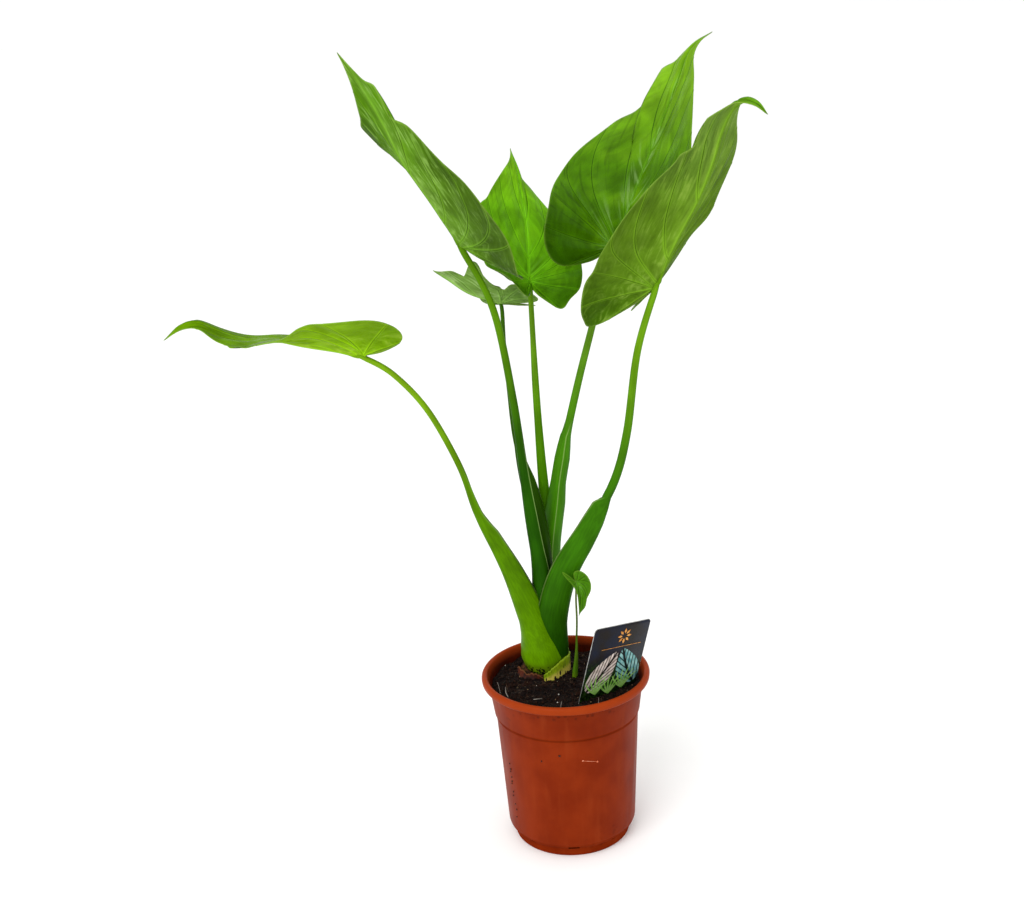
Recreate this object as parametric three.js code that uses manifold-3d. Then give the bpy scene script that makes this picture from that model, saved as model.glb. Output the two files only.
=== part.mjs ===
// Potted Chinese taro (Alocasia cucullata): a nursery pot with soil, a clump of six
// heart-shaped leaves on sheathing stalks, one young side shoot and a plant label.
// Millimetres, +Z up. The origin is the centre of the pot's underside, on the surface
// that the pot stands on. The front of the pot looks along -Y.
import * as THREE from 'three';
import { mergeVertices } from 'three/addons/utils/BufferGeometryUtils.js';
import Module from 'manifold-3d';

const wasm = await Module();
wasm.setup();

// Clearance between pieces that touch on the real plant, and the distance under which
// two vertices are one.
const GAP = 0.3;
const MERGE = 1e-3;

// The pot, a thin injection moulding with a rolled rim and a stepped collar.
const POT = {
  height: 178,
  rimRadius: 85,
  rimHeight: 9,
  collarTop: 78,
  collarBottom: 73.6,
  ridgeHeight: 137,
  bodyTop: 72,
  bodyBottom: 65.4,
  heelHeight: 14,
  heelStep: 8.5,
  footRadius: 58,
  wall: 2,
  floor: 3,
  padRadius: 13,
  lift: 1.6,
  sides: 44,
};
const DRAIN = { count: 8, radius: 4.2, ring: 44, slotWidth: 11, slotHeight: 4.2 };

// The soil, mounded against the stem and uneven on top.
const SOIL = { edge: 162.5, mound: 167.5, roughness: 0.9, rings: 5, sides: 36 };

// Where the clump grows, off the pot's centre and towards the back.
const CLUMP = { x: -21.5, y: 30, radius: 26, foot: 171 };
const CORM = { bottom: 118, tipRadius: 12, shoulder: 138 };
const HUSK = {
  thickness: 1.1, heights: [6, 12, 13, 11, 13, 9], from: 175, to: 267, teeth: 7, ragged: 0.16,
};
const SCALE = {
  thickness: 1.2, heights: [12, 21, 26, 28, 27, 22, 13], from: 269, to: 395, teeth: 5, ragged: 0.04,
};

// The leaf blade: 0.9 mm thick with a keel under the midrib, side veins that start on
// the midrib, and a surface quilted between them.
const BLADE = {
  thickness: 0.9,
  keel: 1.5,
  rows: 22,
  columns: 4,
  rowsPerVein: 4,
  fan: 0.06,
  veinSweep: 1.2,
  quilt: 0.9,
  ripple: 1.5,
  ripples: 3,
  foldPlaces: [0.2, 0.48, 0.74],
  foldWidth: 0.14,
};

// One half of the heart outline as [along, across] fractions. A negative "along" is a
// share of the lobe's length, a positive one a share of the blade's length, and
// "across" is a share of the half width.
const HEART = [
  [-0.5, 0.09],
  [-0.92, 0.3],
  [-1.0, 0.52],
  [-0.78, 0.78],
  [-0.3, 0.95],
  [0.08, 1.0],
  [0.27, 0.93],
  [0.5, 0.67],
  [0.7, 0.37],
  [0.84, 0.15],
  [0.93, 0.05],
  [1.0, 0.0],
];

// Every leaf, from the outermost sheath inwards.
// Stalk: its route from the clump's foot to the blade, the way its channel looks, its
// half-open section at the foot and at the top, and the sheath that wraps its lower part.
// Blade: pairs are for the left and the right half, and threes are values at the heart,
// the middle and the tip. The spine starts with a point behind the heart. "face" is the
// azimuth and height angle of the way the upper face looks, "lift" how far each half
// rises from flat and "curl" how much more by its margin, all in degrees. "fold" moves
// the margin in millimetres, and "lobeLift" turns the lobes alone.
const LEAVES = [
  {
    name: 'a',
    colour: 0x6f9e12,
    stalk: {
      route: [
        [-21, 30, 155], [-22, 28, 195], [-32.5, 20, 235], [-49, 12, 285], [-76, 6, 345],
        [-91, 2, 396], [-118, -1, 456], [-148, -5, 495], [-174, -8, 515],
      ],
      inward: [[0, 1, 0], [0.7, 0.65, 0.1], [0.9, 0.2, 0.5], [0.7, 0.15, 0.7], [0.5, 0.1, 0.9]],
      base: { width: 51, out: 28, in: -20 },
      top: { width: 6, out: 3, in: 2.4 },
      taper: 0.4,
      foot: 0.93,
      sheath: {
        wing: [
          [0, 0.7], [0.04, 0.8], [0.07, 0.97], [0.11, 0.9], [0.15, 0.7], [0.19, 0.52],
          [0.3, 0.34], [0.41, 0.16], [0.5, 0.06], [0.65, 0],
        ],
        rise: 8,
      },
    },
    blade: {
      halfWidth: [70, 68], lobe: [36, 36], notch: 4,
      spine: [
        [-127, -4, 514], [-174, -8, 516], [-202, 1, 520], [-233, 7, 525], [-262, 8, 532],
        [-287, 7, 534], [-309, 3, 542], [-328, -3, 553], [-343, -10, 552], [-358, -18, 542],
      ],
      face: [[163, 79], [215, 85], [-34, 57]],
      lift: [[36, -2, -7], [25, -8, -7]],
      curl: [[-10, 9, -2], [-9, -1, -4]],
      fold: [[4, 1, -1], [2, -1, -1]],
      lobeLift: [-2, 1],
      phase: 0.1,
    },
  },
  {
    name: 'f',
    colour: 0x5f8f18,
    stalk: {
      route: [
        [-20, 30, 155], [-18, 27, 200], [-10, 20, 245], [4.5, 10, 288], [30.5, 0, 332],
        [55.5, -5, 377], [69.5, -10, 428], [81, -22, 509], [97, -31, 570],
      ],
      inward: [
        [-0.95, 0.3, 0], [-0.8, 0.45, 0.3], [-0.8, 0.4, 0.4], [-0.8, 0.4, 0.4], [-0.8, 0.4, 0.4],
      ],
      base: { width: 38, out: 27.5, in: -8 },
      top: { width: 6.4, out: 3.2, in: 2.8 },
      taper: 0.95,
      foot: 0.93,
      sheath: {
        wing: [
          [0, 0.8], [0.1, 0.86], [0.165, 0.68], [0.34, 0.52],
          [0.38, 0.47], [0.45, 0.31], [0.485, 0.15], [0.51, 0],
        ],
        rise: 8,
      },
    },
    blade: {
      halfWidth: [78, 73], lobe: [46, 57], notch: 5,
      spine: [
        [67, -16, 535], [97, -31, 570], [109, -42, 599], [122, -54, 627], [135, -67, 654],
        [146, -84, 686], [152, -99, 712], [159, -112, 730], [166, -120, 738], [177, -128, 736],
        [185, -138, 728],
      ],
      face: [[-131, 22], [-138, 27], [-127, 30]],
      lift: [[29, 18, 8], [28, 23, 6]],
      curl: [[-10, -7, -3], [-8, -8, -7]],
      fold: [[-4, 2, -1], [-6, 0, -1]],
      lobeLift: [-2, -13],
      phase: 0.7,
      bites: [
        { half: 1, at: 0.8, depth: 0.15, width: 0.03 },
        { half: 1, at: 0.87, depth: -0.25, width: 0.03 },
      ],
    },
  },
  {
    name: 'b',
    colour: 0x5c8d1a,
    stalk: {
      route: [
        [-22, 31, 155], [-21, 28, 200], [-19, 22, 245], [-20, 15, 285], [-25, 11, 330],
        [-30, 9, 379], [-37, 2, 463], [-50, -11, 553], [-73, -23, 615],
      ],
      inward: [[0.5, 0.85, 0], [0.6, 0.8, 0.2], [0.67, 0.75, 0.3]],
      base: { width: 30, out: 12, in: 4 },
      top: { width: 6.2, out: 3.1, in: 2.8 },
      taper: 0.75,
      sheath: {
        wing: [
          [0, 1], [0.1, 0.95], [0.2, 0.75], [0.26, 0.55], [0.32, 0.33],
          [0.4, 0.25], [0.47, 0.11], [0.55, 0.02], [0.6, 0],
        ],
        rise: 1,
      },
    },
    blade: {
      halfWidth: [73, 77], lobe: [32, 44], notch: 5,
      spine: [
        [-50, 12, 584], [-73, -23, 615], [-86, -42, 640], [-97, -59, 663], [-108, -73, 684],
        [-118, -86, 704], [-127, -99, 729], [-137, -110, 753], [-149, -120, 777],
        [-159, -126, 795],
      ],
      face: [[111, 15], [131, 20], [144, 14]],
      lift: [[21, 9, -7], [31, 15, -5]],
      curl: [[-6, 2, 5], [-3, -5, -2]],
      fold: [[4, 1, -3], [0, 0, -5]],
      lobeLift: [8, -5],
      phase: 0.6,
      bites: [{ half: -1, at: 0.818, depth: 0.42, width: 0.03 }],
    },
  },
  {
    name: 'e',
    colour: 0x4f9a12,
    stalk: {
      route: [
        [-19, 34, 155], [-16, 36, 205], [-11, 37, 250], [-10, 38, 290], [-5, 40, 325],
        [8, 47, 391], [26.5, 60, 460], [45.5, 78, 520], [66, 96, 588],
      ],
      inward: [[-0.6, -0.6, 0.2], [-0.8, -0.5, 0.2], [-0.7, -0.6, 0.3]],
      base: { width: 23, out: 15, in: 8 },
      top: { width: 6, out: 3, in: 2.8 },
      taper: 0.9,
      sheath: {
        wing: [
          [0, 1], [0.3, 0.8], [0.42, 0.75], [0.465, 0.48],
          [0.52, 0.5], [0.545, 0.35], [0.575, 0.1], [0.61, 0],
        ],
        rise: 4,
      },
    },
    blade: {
      halfWidth: [78, 79], lobe: [54, 54], notch: 5,
      spine: [
        [33, 74, 557], [66, 96, 588], [85, 111, 623], [101, 125, 655], [115, 139, 683],
        [129, 153, 712], [143, 167, 740], [152, 178, 760], [164, 187, 774], [180, 195, 783],
      ],
      face: [[-18, 16], [-40, 16], [-62, 23]],
      lift: [[30, 13, -2], [30, 20, 3]],
      curl: [[11, 0, -5], [1, -3, 1]],
      fold: [[0, 0, -2], [0, 0, -2]],
      lobeLift: [-1, -1],
      phase: 0.8,
      bites: [{ half: -1, at: 0.79, depth: 0.33, width: 0.035 }],
    },
  },
  {
    name: 'c',
    colour: 0x63a81e,
    stalk: {
      route: [
        [-20, 38, 155], [-18, 42, 205], [-14, 45, 250], [-11, 47, 300], [-12, 50, 340],
        [-14, 58, 392], [-15.5, 73, 452], [-16, 94, 506], [-16, 113, 554],
      ],
      inward: [[0, -1, 0.1], [0, -1, 0.1], [0, -0.9, 0.3]],
      base: { width: 22, out: 16, in: 6 },
      top: { width: 5.2, out: 2.7, in: 2.3 },
      taper: 0.6,
      sheath: {
        wing: [[0, 1], [0.2, 0.7], [0.4, 0.4], [0.53, 0.23], [0.65, 0.11], [0.77, 0.07], [0.86, 0]],
        rise: 0,
      },
    },
    blade: {
      halfWidth: [64, 54], lobe: [38, 49], notch: 11,
      spine: [
        [-6, 77, 529], [-16, 113, 554], [-17, 132, 583], [-18, 154, 608], [-22, 185, 636],
        [-26, 211, 656], [-31, 237, 674],
      ],
      face: [[13, 41], [32, 31], [61, 19]],
      lift: [[36, 10, -3], [18, -2, -18]],
      curl: [[6, -7, -1], [3, -10, -3]],
      fold: [[1, -3, 0], [0, -1, 0]],
      lobeLift: [14, -1],
      phase: 0.5,
      bites: [
        { half: 1, at: 0.864, depth: 0.4, width: 0.03 },
        { half: -1, at: 0.6, depth: -0.08, width: 0.03 },
      ],
    },
  },
  {
    name: 'd',
    colour: 0x5f7f3a,
    stalk: {
      route: [
        [-22, 36, 155], [-20, 33, 205], [-16, 30, 250], [-17, 29, 300], [-23, 38, 345],
        [-38, 62, 403], [-43, 92, 450], [-46, 117, 490], [-48, 145, 526],
      ],
      inward: [[0.3, 0.9, 0.1], [0.3, 0.9, 0.1], [0.3, 0.9, 0.2], [0.8, 0.1, 0.6], [0.3, -0.6, 0.8]],
      base: { width: 20, out: 11, in: -6 },
      top: { width: 4.2, out: 2.1, in: 1.8 },
      taper: 0.6,
      sheath: {
        wing: [
          [0, 1], [0.3, 0.85], [0.45, 0.85], [0.53, 0.8],
          [0.57, 0.5], [0.62, 0.06], [0.68, 0],
        ],
        rise: 2,
      },
    },
    blade: {
      halfWidth: [42, 43], lobe: [27, 27], notch: 3,
      spine: [
        [9, 147, 517], [-47, 145, 527], [-64, 141, 533], [-83, 143, 541], [-100, 151, 552],
        [-117, 164, 561],
      ],
      face: [[167, 73], [177, 75], [190, 65]],
      lift: [[30, 48, 52], [3, 20, 8]],
      curl: [[-4, -5, 1], [-3, 2, -5]],
      fold: [[-13, 7, -4], [-3, 0, -3]],
      lobeLift: [-11, 6],
      phase: 0.6,
      bites: [
        { half: -1, at: 0.51, depth: 0.42, width: 0.055 },
        { half: -1, at: 0.775, depth: 0.35, width: 0.035 },
        { half: -1, at: 0.72, depth: -0.3, width: 0.025 },
      ],
    },
  },
];

const SHOOT = {
  colour: 0x5fa01c,
  route: [
    [8, 8, 148], [9, 8, 162], [12, 6, 191], [13, 4, 211], [14, 0, 232], [14, -5, 256],
    [15, -7, 274],
  ],
  baseRadius: 3,
  topRadius: 1,
  blade: {
    rows: 12,
    halfWidth: [15, 5], lobe: [9, 17], notch: 1,
    spine: [[3, -7, 289], [15, -8, 276], [19, -12, 268], [19, -15, 260], [16, -16, 243]],
    face: [[-10, 10], [-10, 10], [-10, 0]],
    lift: [[10, 20, 20], [20, 30, 30]],
    curl: [[20, 20, 20], [0, 0, 0]],
    fold: [[0, 0, 0], [0, 0, 0]],
    lobeLift: [0, 0],
    phase: 0,
    bites: [{ half: -1, at: 0.68, depth: 0.35, width: 0.1 }],
  },
};

// The label: a printed card on a pointed tongue that is pushed into the soil near the
// front wall. Its lower left corner is given, and its angles in degrees: how far it is
// turned from facing the front, how far it leans to the right and how far forward.
const LABEL = {
  corner: [11, -47, 163],
  turn: 35,
  lean: 8,
  forward: 12,
  width: 71,
  height: 85,
  thickness: 0.8,
  cornerRadius: 4,
  tongueWidth: 26,
  tongueLength: 24,
};

const COLOUR = {
  pot: 0x9a3c20,
  soil: 0x1d120c,
  corm: 0x5a4a2a,
  husk: 0x5a2c16,
  scale: 0xa2a63a,
  label: 0x2f2b28,
};

function vector(numbers) {
  return new THREE.Vector3(numbers[0], numbers[1], numbers[2]);
}

function radians(degrees) {
  return (degrees * Math.PI) / 180;
}

// Joining and cutting solids.

function toSolid(geometry) {
  const bare = geometry.clone();
  bare.deleteAttribute('normal');
  bare.deleteAttribute('uv');
  const merged = mergeVertices(bare, MERGE);
  return new wasm.Manifold(new wasm.Mesh({
    numProp: 3,
    vertProperties: new Float32Array(merged.attributes.position.array),
    triVerts: new Uint32Array(merged.index.array),
  }));
}

function toGeometry(solid) {
  const mesh = solid.getMesh();
  const geometry = new THREE.BufferGeometry();
  geometry.setAttribute('position', new THREE.BufferAttribute(mesh.vertProperties, 3));
  geometry.setIndex(new THREE.BufferAttribute(mesh.triVerts, 1));
  return geometry;
}

// Cutting can leave slivers that hang on by less than the merging distance or by
// nothing, so vertices are merged and only the largest body is kept.
function largestBody(solid) {
  const bodies = toSolid(toGeometry(solid)).decompose();
  return bodies.reduce((best, body) => (body.volume() > best.volume() ? body : best));
}

function indexedGeometry(points, triangles) {
  const geometry = new THREE.BufferGeometry();
  const numbers = points.flatMap((point) => [point.x, point.y, point.z]);
  geometry.setAttribute('position', new THREE.Float32BufferAttribute(numbers, 3));
  geometry.setIndex(triangles.flat());
  return geometry;
}

function latheSolid(profile, sides) {
  const points = profile.map(([radius, height]) => new THREE.Vector2(radius, height));
  const geometry = new THREE.LatheGeometry(points, sides);
  geometry.rotateX(Math.PI / 2);
  return toSolid(geometry);
}

function cylinderSolid(radius, bottom, top, x, y, sides) {
  const geometry = new THREE.CylinderGeometry(radius, radius, top - bottom, sides);
  geometry.rotateX(Math.PI / 2);
  geometry.translate(x, y, (top + bottom) / 2);
  return toSolid(geometry);
}

// The flat end of a loft: point i is tied to its partner on the other side of the ring.
function endCap(count) {
  const half = count / 2;
  const triangles = [];
  for (let i = 0; i < half; i += 1) {
    const partner = (count - i) % count;
    if (i > 0) {
      triangles.push([i, partner - 1, partner]);
    }
    if (i < half - 1) {
      triangles.push([i, i + 1, count - i - 1]);
    }
  }
  return triangles;
}

// A closed body through a row of rings that all have the same even number of points.
// The rings turn to the right seen along the row.
function loft(rings) {
  const count = rings[0].length;
  const points = rings.flat();
  const triangles = [];
  for (let row = 0; row < rings.length - 1; row += 1) {
    for (let side = 0; side < count; side += 1) {
      const next = (side + 1) % count;
      const a = row * count + side;
      const b = row * count + next;
      triangles.push([a, b, b + count]);
      triangles.push([a, b + count, a + count]);
    }
  }
  const last = (rings.length - 1) * count;
  for (const [a, b, c] of endCap(count)) {
    triangles.push([a, c, b]);
    triangles.push([last + a, last + b, last + c]);
  }
  return indexedGeometry(points, triangles);
}

// A curve through points, measured by the distance along it.
class Route {
  constructor(places) {
    this.curve = new THREE.CatmullRomCurve3(places.map(vector), false, 'catmullrom', 0.5);
    this.steps = 40 * (places.length - 1);
    this.points = this.curve.getPoints(this.steps);
    this.distances = [0];
    for (let i = 1; i < this.points.length; i += 1) {
      const step = this.points[i].distanceTo(this.points[i - 1]);
      this.distances.push(this.distances[i - 1] + step);
    }
    this.length = this.distances[this.steps];
    this.directions = this.points.map((_, i) => {
      const before = this.points[Math.max(i - 1, 0)];
      const after = this.points[Math.min(i + 1, this.steps)];
      return after.clone().sub(before).normalize();
    });
  }

  // The distance from the start to one of the points that the curve was given.
  distanceTo(place) {
    return this.distances[40 * place];
  }

  // Position and direction at a distance, carried on straight past both ends.
  at(distance) {
    const inside = Math.min(Math.max(distance, 0), this.length);
    let i = 1;
    while (i < this.steps && this.distances[i] < inside) {
      i += 1;
    }
    const share = (inside - this.distances[i - 1]) / (this.distances[i] - this.distances[i - 1]);
    const point = this.points[i - 1].clone().lerp(this.points[i], share);
    const direction = this.directions[i - 1].clone().lerp(this.directions[i], share).normalize();
    point.addScaledVector(direction, distance - inside);
    return { point, direction };
  }
}

// Straight steps between three values, at 0, a half and 1.
function between(values, share) {
  const place = Math.min(Math.max(share, 0), 1) * (values.length - 1);
  const low = Math.min(Math.floor(place), values.length - 2);
  return THREE.MathUtils.lerp(values[low], values[low + 1], place - low);
}

// The direction that looks to an azimuth, 0 being the front, and up by an angle.
function facing([azimuth, height]) {
  const level = Math.cos(radians(height));
  return [
    level * Math.sin(radians(azimuth)), -level * Math.cos(radians(azimuth)), Math.sin(radians(height)),
  ];
}

function betweenVectors(values, share) {
  const axes = [0, 1, 2];
  return new THREE.Vector3(...axes.map((axis) => between(values.map((v) => v[axis]), share)));
}

// The pot.

function buildPot() {
  const { height, rimRadius, rimHeight, collarTop, collarBottom, ridgeHeight } = POT;
  const { bodyTop, bodyBottom, heelHeight, heelStep, footRadius } = POT;
  const { wall, floor, padRadius, lift } = POT;
  const underRim = height - rimHeight;
  const profile = [
    [0, 0],
    [padRadius, 0],
    [padRadius + 2, lift],
    [footRadius - 6, lift],
    [footRadius - 4, 0],
    [footRadius, 0],
    [footRadius + 1, 1.2],
    [footRadius + 1, heelStep],
    [bodyBottom - 1, heelHeight - 0.8],
    [bodyBottom, heelHeight + 2],
    [bodyTop, ridgeHeight - 2],
    [collarBottom, ridgeHeight],
    [collarTop, underRim],
    [rimRadius - 2.2, underRim],
    [rimRadius - 0.6, underRim + 1.6],
    [rimRadius, height - 3.2],
    [rimRadius - 1.2, height - 0.8],
    [rimRadius - 3.4, height],
    [rimRadius - 5.6, height - 1],
    [collarTop - wall, underRim - 2],
    [collarBottom - wall, ridgeHeight],
    [bodyTop - wall, ridgeHeight - 4],
    [bodyBottom - wall, heelHeight + 3],
    [footRadius - 1, heelStep + 1],
    [footRadius - 1, floor + lift],
    [0, floor + lift],
  ];
  let pot = latheSolid(profile, POT.sides);
  for (let hole = 0; hole < DRAIN.count; hole += 1) {
    const angle = ((hole + 0.5) * 2 * Math.PI) / DRAIN.count;
    const floorHole = cylinderSolid(
      DRAIN.radius, -5, 12, DRAIN.ring * Math.cos(angle), DRAIN.ring * Math.sin(angle), 10,
    );
    pot = pot.subtract(floorHole);
    const slot = new THREE.BoxGeometry(10, DRAIN.slotWidth, DRAIN.slotHeight);
    slot.translate(footRadius + 3, 0, heelStep + DRAIN.slotHeight / 2);
    slot.rotateZ(angle - Math.PI / DRAIN.count);
    pot = pot.subtract(toSolid(slot));
  }
  return pot;
}

// The pot's inner radius at a height, for what is packed inside.
function innerRadius(z) {
  const { bodyBottom, bodyTop, collarBottom, collarTop, ridgeHeight } = POT;
  const { heelHeight, heelStep, wall, height, rimHeight, footRadius } = POT;
  const heel = heelHeight + 3;
  const step = heelStep + 1;
  if (z < step) {
    return footRadius - 1;
  }
  if (z < heel) {
    const share = (z - step) / (heel - step);
    return THREE.MathUtils.lerp(footRadius - 1, bodyBottom - wall, share);
  }
  if (z < ridgeHeight - 4) {
    const share = (z - heel) / (ridgeHeight - 4 - heel);
    return THREE.MathUtils.lerp(bodyBottom - wall, bodyTop - wall, share);
  }
  const share = (z - ridgeHeight) / (height - rimHeight - 2 - ridgeHeight);
  return THREE.MathUtils.lerp(collarBottom - wall, collarTop - wall, Math.max(share, 0));
}

// Soil height, without the fine crumbs: a mound round the clump and long low bumps.
function soilHeight(x, y) {
  const away = Math.hypot(x - CLUMP.x, y - CLUMP.y) - CLUMP.radius;
  const mound = Math.exp(-((Math.max(away, 0) / 26) ** 2));
  const bumps = Math.sin(x * 0.21 + 1.3) * Math.cos(y * 0.17 - 0.4) + Math.sin(x * 0.09 - y * 0.31);
  return SOIL.edge + (SOIL.mound - SOIL.edge) * mound + SOIL.roughness * bumps;
}

function buildSoil() {
  const { rings, sides } = SOIL;
  const bottom = POT.floor + POT.lift + GAP;
  const levels = [bottom, POT.heelStep + 0.8, POT.heelHeight + 3.2, POT.ridgeHeight - 4.2];
  const points = [new THREE.Vector3(0, 0, bottom)];
  const addRing = (radius, height) => {
    for (let side = 0; side < sides; side += 1) {
      const angle = (side * 2 * Math.PI) / sides;
      const x = radius * Math.cos(angle);
      const y = radius * Math.sin(angle);
      points.push(new THREE.Vector3(x, y, height ?? soilHeight(x, y)));
    }
  };
  for (const level of levels) {
    addRing(innerRadius(level) - 2 * GAP, level);
  }
  for (let ring = rings; ring > 0; ring -= 1) {
    addRing(((innerRadius(SOIL.edge) - 2.2 * GAP) * ring) / rings);
  }
  points.push(new THREE.Vector3(0, 0, soilHeight(0, 0)));
  const triangles = [];
  const rows = levels.length + rings;
  for (let side = 0; side < sides; side += 1) {
    const next = (side + 1) % sides;
    triangles.push([0, 1 + next, 1 + side]);
    for (let row = 0; row < rows - 1; row += 1) {
      const a = 1 + row * sides + side;
      const b = 1 + row * sides + next;
      triangles.push([a, b, b + sides]);
      triangles.push([a, b + sides, a + sides]);
    }
    const top = 1 + (rows - 1) * sides;
    triangles.push([top + side, top + next, points.length - 1]);
  }
  let soil = toSolid(indexedGeometry(points, triangles));
  const stemHole = cylinderSolid(
    CLUMP.radius + 2 * GAP + HUSK.thickness + 0.9, CORM.bottom - GAP, 200, CLUMP.x, CLUMP.y, 32,
  );
  const shootHole = cylinderSolid(SHOOT.baseRadius + 1, SHOOT.route[0][2] - GAP, 200, 8.8, 8, 12);
  soil = soil.subtract(stemHole).subtract(shootHole).subtract(buildLabel(GAP));
  return soil;
}

// The clump's foot.

function buildCorm() {
  const { bottom, tipRadius, shoulder } = CORM;
  const { radius, foot, x, y } = CLUMP;
  const profile = [
    [0, bottom],
    [tipRadius, bottom],
    [radius - 4, (bottom + shoulder) / 2],
    [radius, shoulder],
    [radius, foot - 8],
    [radius - 5, foot],
    [0, foot],
  ];
  return latheSolid(profile, 24).translate([x, y, 0]);
}

// A torn strip of dead leaf base, wrapped round the foot of the clump.
function buildStrip(strip, bottom) {
  const { thickness, heights, from, to, teeth, ragged } = strip;
  const steps = 4 * teeth;
  const inner = CLUMP.radius + GAP + 0.2;
  const rings = [];
  for (let step = 0; step <= steps; step += 1) {
    const share = step / steps;
    const angle = radians(THREE.MathUtils.lerp(from, to, share));
    const tooth = 1 - ragged * Math.sin(share * teeth * Math.PI) ** 2;
    const top = bottom + between(heights, share) * tooth;
    const outer = inner + thickness;
    const corners = [[inner, bottom], [inner, top], [outer, top], [outer, bottom]];
    rings.push(corners.map(([radius, z]) => new THREE.Vector3(
      CLUMP.x + radius * Math.cos(angle), CLUMP.y + radius * Math.sin(angle), z,
    )));
  }
  return toSolid(loft(rings));
}

// Leaf stalks.

// The outline of a stalk across its length: round, or channelled with raised margins.
// x runs to its side and y towards its inner, upper face.
function stalkSection(width, out, inner, rise, sides) {
  const half = sides / 2;
  const section = [];
  for (let k = 0; k <= half; k += 1) {
    const angle = (k * Math.PI) / half;
    const depth = rise - (out + rise) * Math.sin(angle);
    section.push(new THREE.Vector2((width / 2) * Math.cos(angle), depth));
  }
  for (let k = half - 1; k > 0; k -= 1) {
    const angle = (k * Math.PI) / half;
    const depth = rise + (inner - rise) * Math.sin(angle);
    section.push(new THREE.Vector2((width / 2) * Math.cos(angle), depth));
  }
  return section;
}

// Moves every side of a section out by a distance. A sharp corner moves out further, up
// to three times as far.
function spread(section, distance) {
  return section.map((corner, i) => {
    const after = section[(i + 1) % section.length];
    const arriving = corner.clone().sub(section.at(i - 1)).normalize();
    const tangent = after.clone().sub(corner).normalize().add(arriving);
    const reach = distance / Math.max(tangent.length() / 2, 0.34);
    tangent.normalize();
    return new THREE.Vector2(corner.x - tangent.y * reach, corner.y + tangent.x * reach);
  });
}

// The frame across a route: "inner" looks to the channel and "side" to one edge.
function frameAt(route, distance, inward) {
  const { point, direction } = route.at(distance);
  const inner = inward.clone().addScaledVector(direction, -inward.dot(direction)).normalize();
  const side = new THREE.Vector3().crossVectors(direction, inner);
  return { point, direction, inner, side };
}

// How far the sheath's wings are open at a share of the stalk's length.
function wingAt({ wing }, share) {
  const next = wing.findIndex(([place]) => place > share);
  if (next < 0) {
    return 0;
  }
  const [[low, open], [high, left]] = wing.slice(next - 1, next + 1);
  return THREE.MathUtils.mapLinear(share, low, high, open, left);
}

// A corner of a section, put into a frame across the route.
function placeIn(frame, corner) {
  return frame.point.clone()
    .addScaledVector(frame.side, corner.x)
    .addScaledVector(frame.inner, corner.y);
}

function buildStalk(stalk, grow) {
  const route = new Route(stalk.route);
  const rings = [];
  const rows = 17;
  const sides = 10;
  for (let row = 0; row <= rows; row += 1) {
    const share = (row / rows) ** 1.1;
    const wing = wingAt(stalk.sheath, share);
    const rise = stalk.sheath.rise * Math.min(wing / 0.12, 1);
    const size = (key) => {
      const rod = stalk.top[key] * (1 + stalk.taper * (1 - share));
      return rod + (stalk.base[key] - stalk.top[key] * (1 + stalk.taper)) * wing;
    };
    const section = stalkSection(size('width'), size('out'), size('in'), rise, sides);
    const frame = frameAt(route, share * route.length, betweenVectors(stalk.inward, share));
    section.forEach((corner) => corner.multiplyScalar(row === 0 ? stalk.foot ?? 1 : 1));
    rings.push(spread(section, grow).map((corner) => placeIn(frame, corner)));
  }
  return toSolid(loft(rings));
}

// Leaf blades.

// Half of the outline in the flat blade, from the notch over the lobe to the tip.
function halfOutline(blade, side, length, rows) {
  const places = HEART.map(([along, across]) => [
    along * (along < 0 ? blade.lobe[side] : length), across * blade.halfWidth[side], 0,
  ]);
  const curve = new Route([[-blade.notch, 0, 0], ...places]);
  return Array.from({ length: rows + 1 }, (_, row) => curve.at((curve.length * row) / rows).point);
}

// Where the side vein that ends at this place on the margin leaves the midrib.
function veinRoot(length, along) {
  const share = Math.max(along / length - BLADE.fan, 0) / (1 - BLADE.fan);
  return length * share ** BLADE.veinSweep;
}

// The flat blade as points and triangles. Rows run from the midrib to the margin, and the
// two halves share the points on the midrib, along the seam behind the heart and at the tip.
function flatBlade(blade, length) {
  const rows = blade.rows ?? BLADE.rows;
  const { columns } = BLADE;
  const outlines = [0, 1].map((side) => halfOutline(blade, side, length, rows));
  const roots = outlines[0].map((margin, row) => (
    (veinRoot(length, margin.x) + veinRoot(length, outlines[1][row].x)) / 2
  ));
  const points = [];
  const places = new Map();
  const place = (along, across, row, column) => {
    const key = row === rows ? 'tip' : `${Math.round(along * 100)} ${Math.round(across * 100)}`;
    if (!places.has(key)) {
      places.set(key, points.length);
      points.push({ along, across, row, column });
    }
    return places.get(key);
  };
  const triangles = [];
  for (const half of [-1, 1]) {
    const grid = outlines[half < 0 ? 0 : 1].map((margin, row) => {
      const left = row > 0 && row < rows ? tear(blade, half, row / rows) : 1;
      return Array.from({ length: columns + 1 }, (_, column) => {
        const share = (column / columns) * left;
        const along = THREE.MathUtils.lerp(roots[row], margin.x, share);
        return place(along, half * Math.max(margin.y, 0) * share, row, column);
      });
    });
    for (let row = 0; row < rows; row += 1) {
      for (let column = 0; column < columns; column += 1) {
        const a = grid[row][column];
        const b = grid[row][column + 1];
        const c = grid[row + 1][column + 1];
        const d = grid[row + 1][column];
        const pair = half > 0 ? [[a, b, c], [a, c, d]] : [[a, c, b], [a, d, c]];
        triangles.push(...pair.filter((t) => new Set(t).size === 3));
      }
    }
  }
  return { points, triangles };
}

// How much of a row is left where the margin is torn.
function tear(blade, half, share) {
  let left = 1;
  for (const bite of blade.bites ?? []) {
    if (bite.half === half) {
      left -= bite.depth * hump(share, bite.at, bite.width);
    }
  }
  return left;
}

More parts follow.
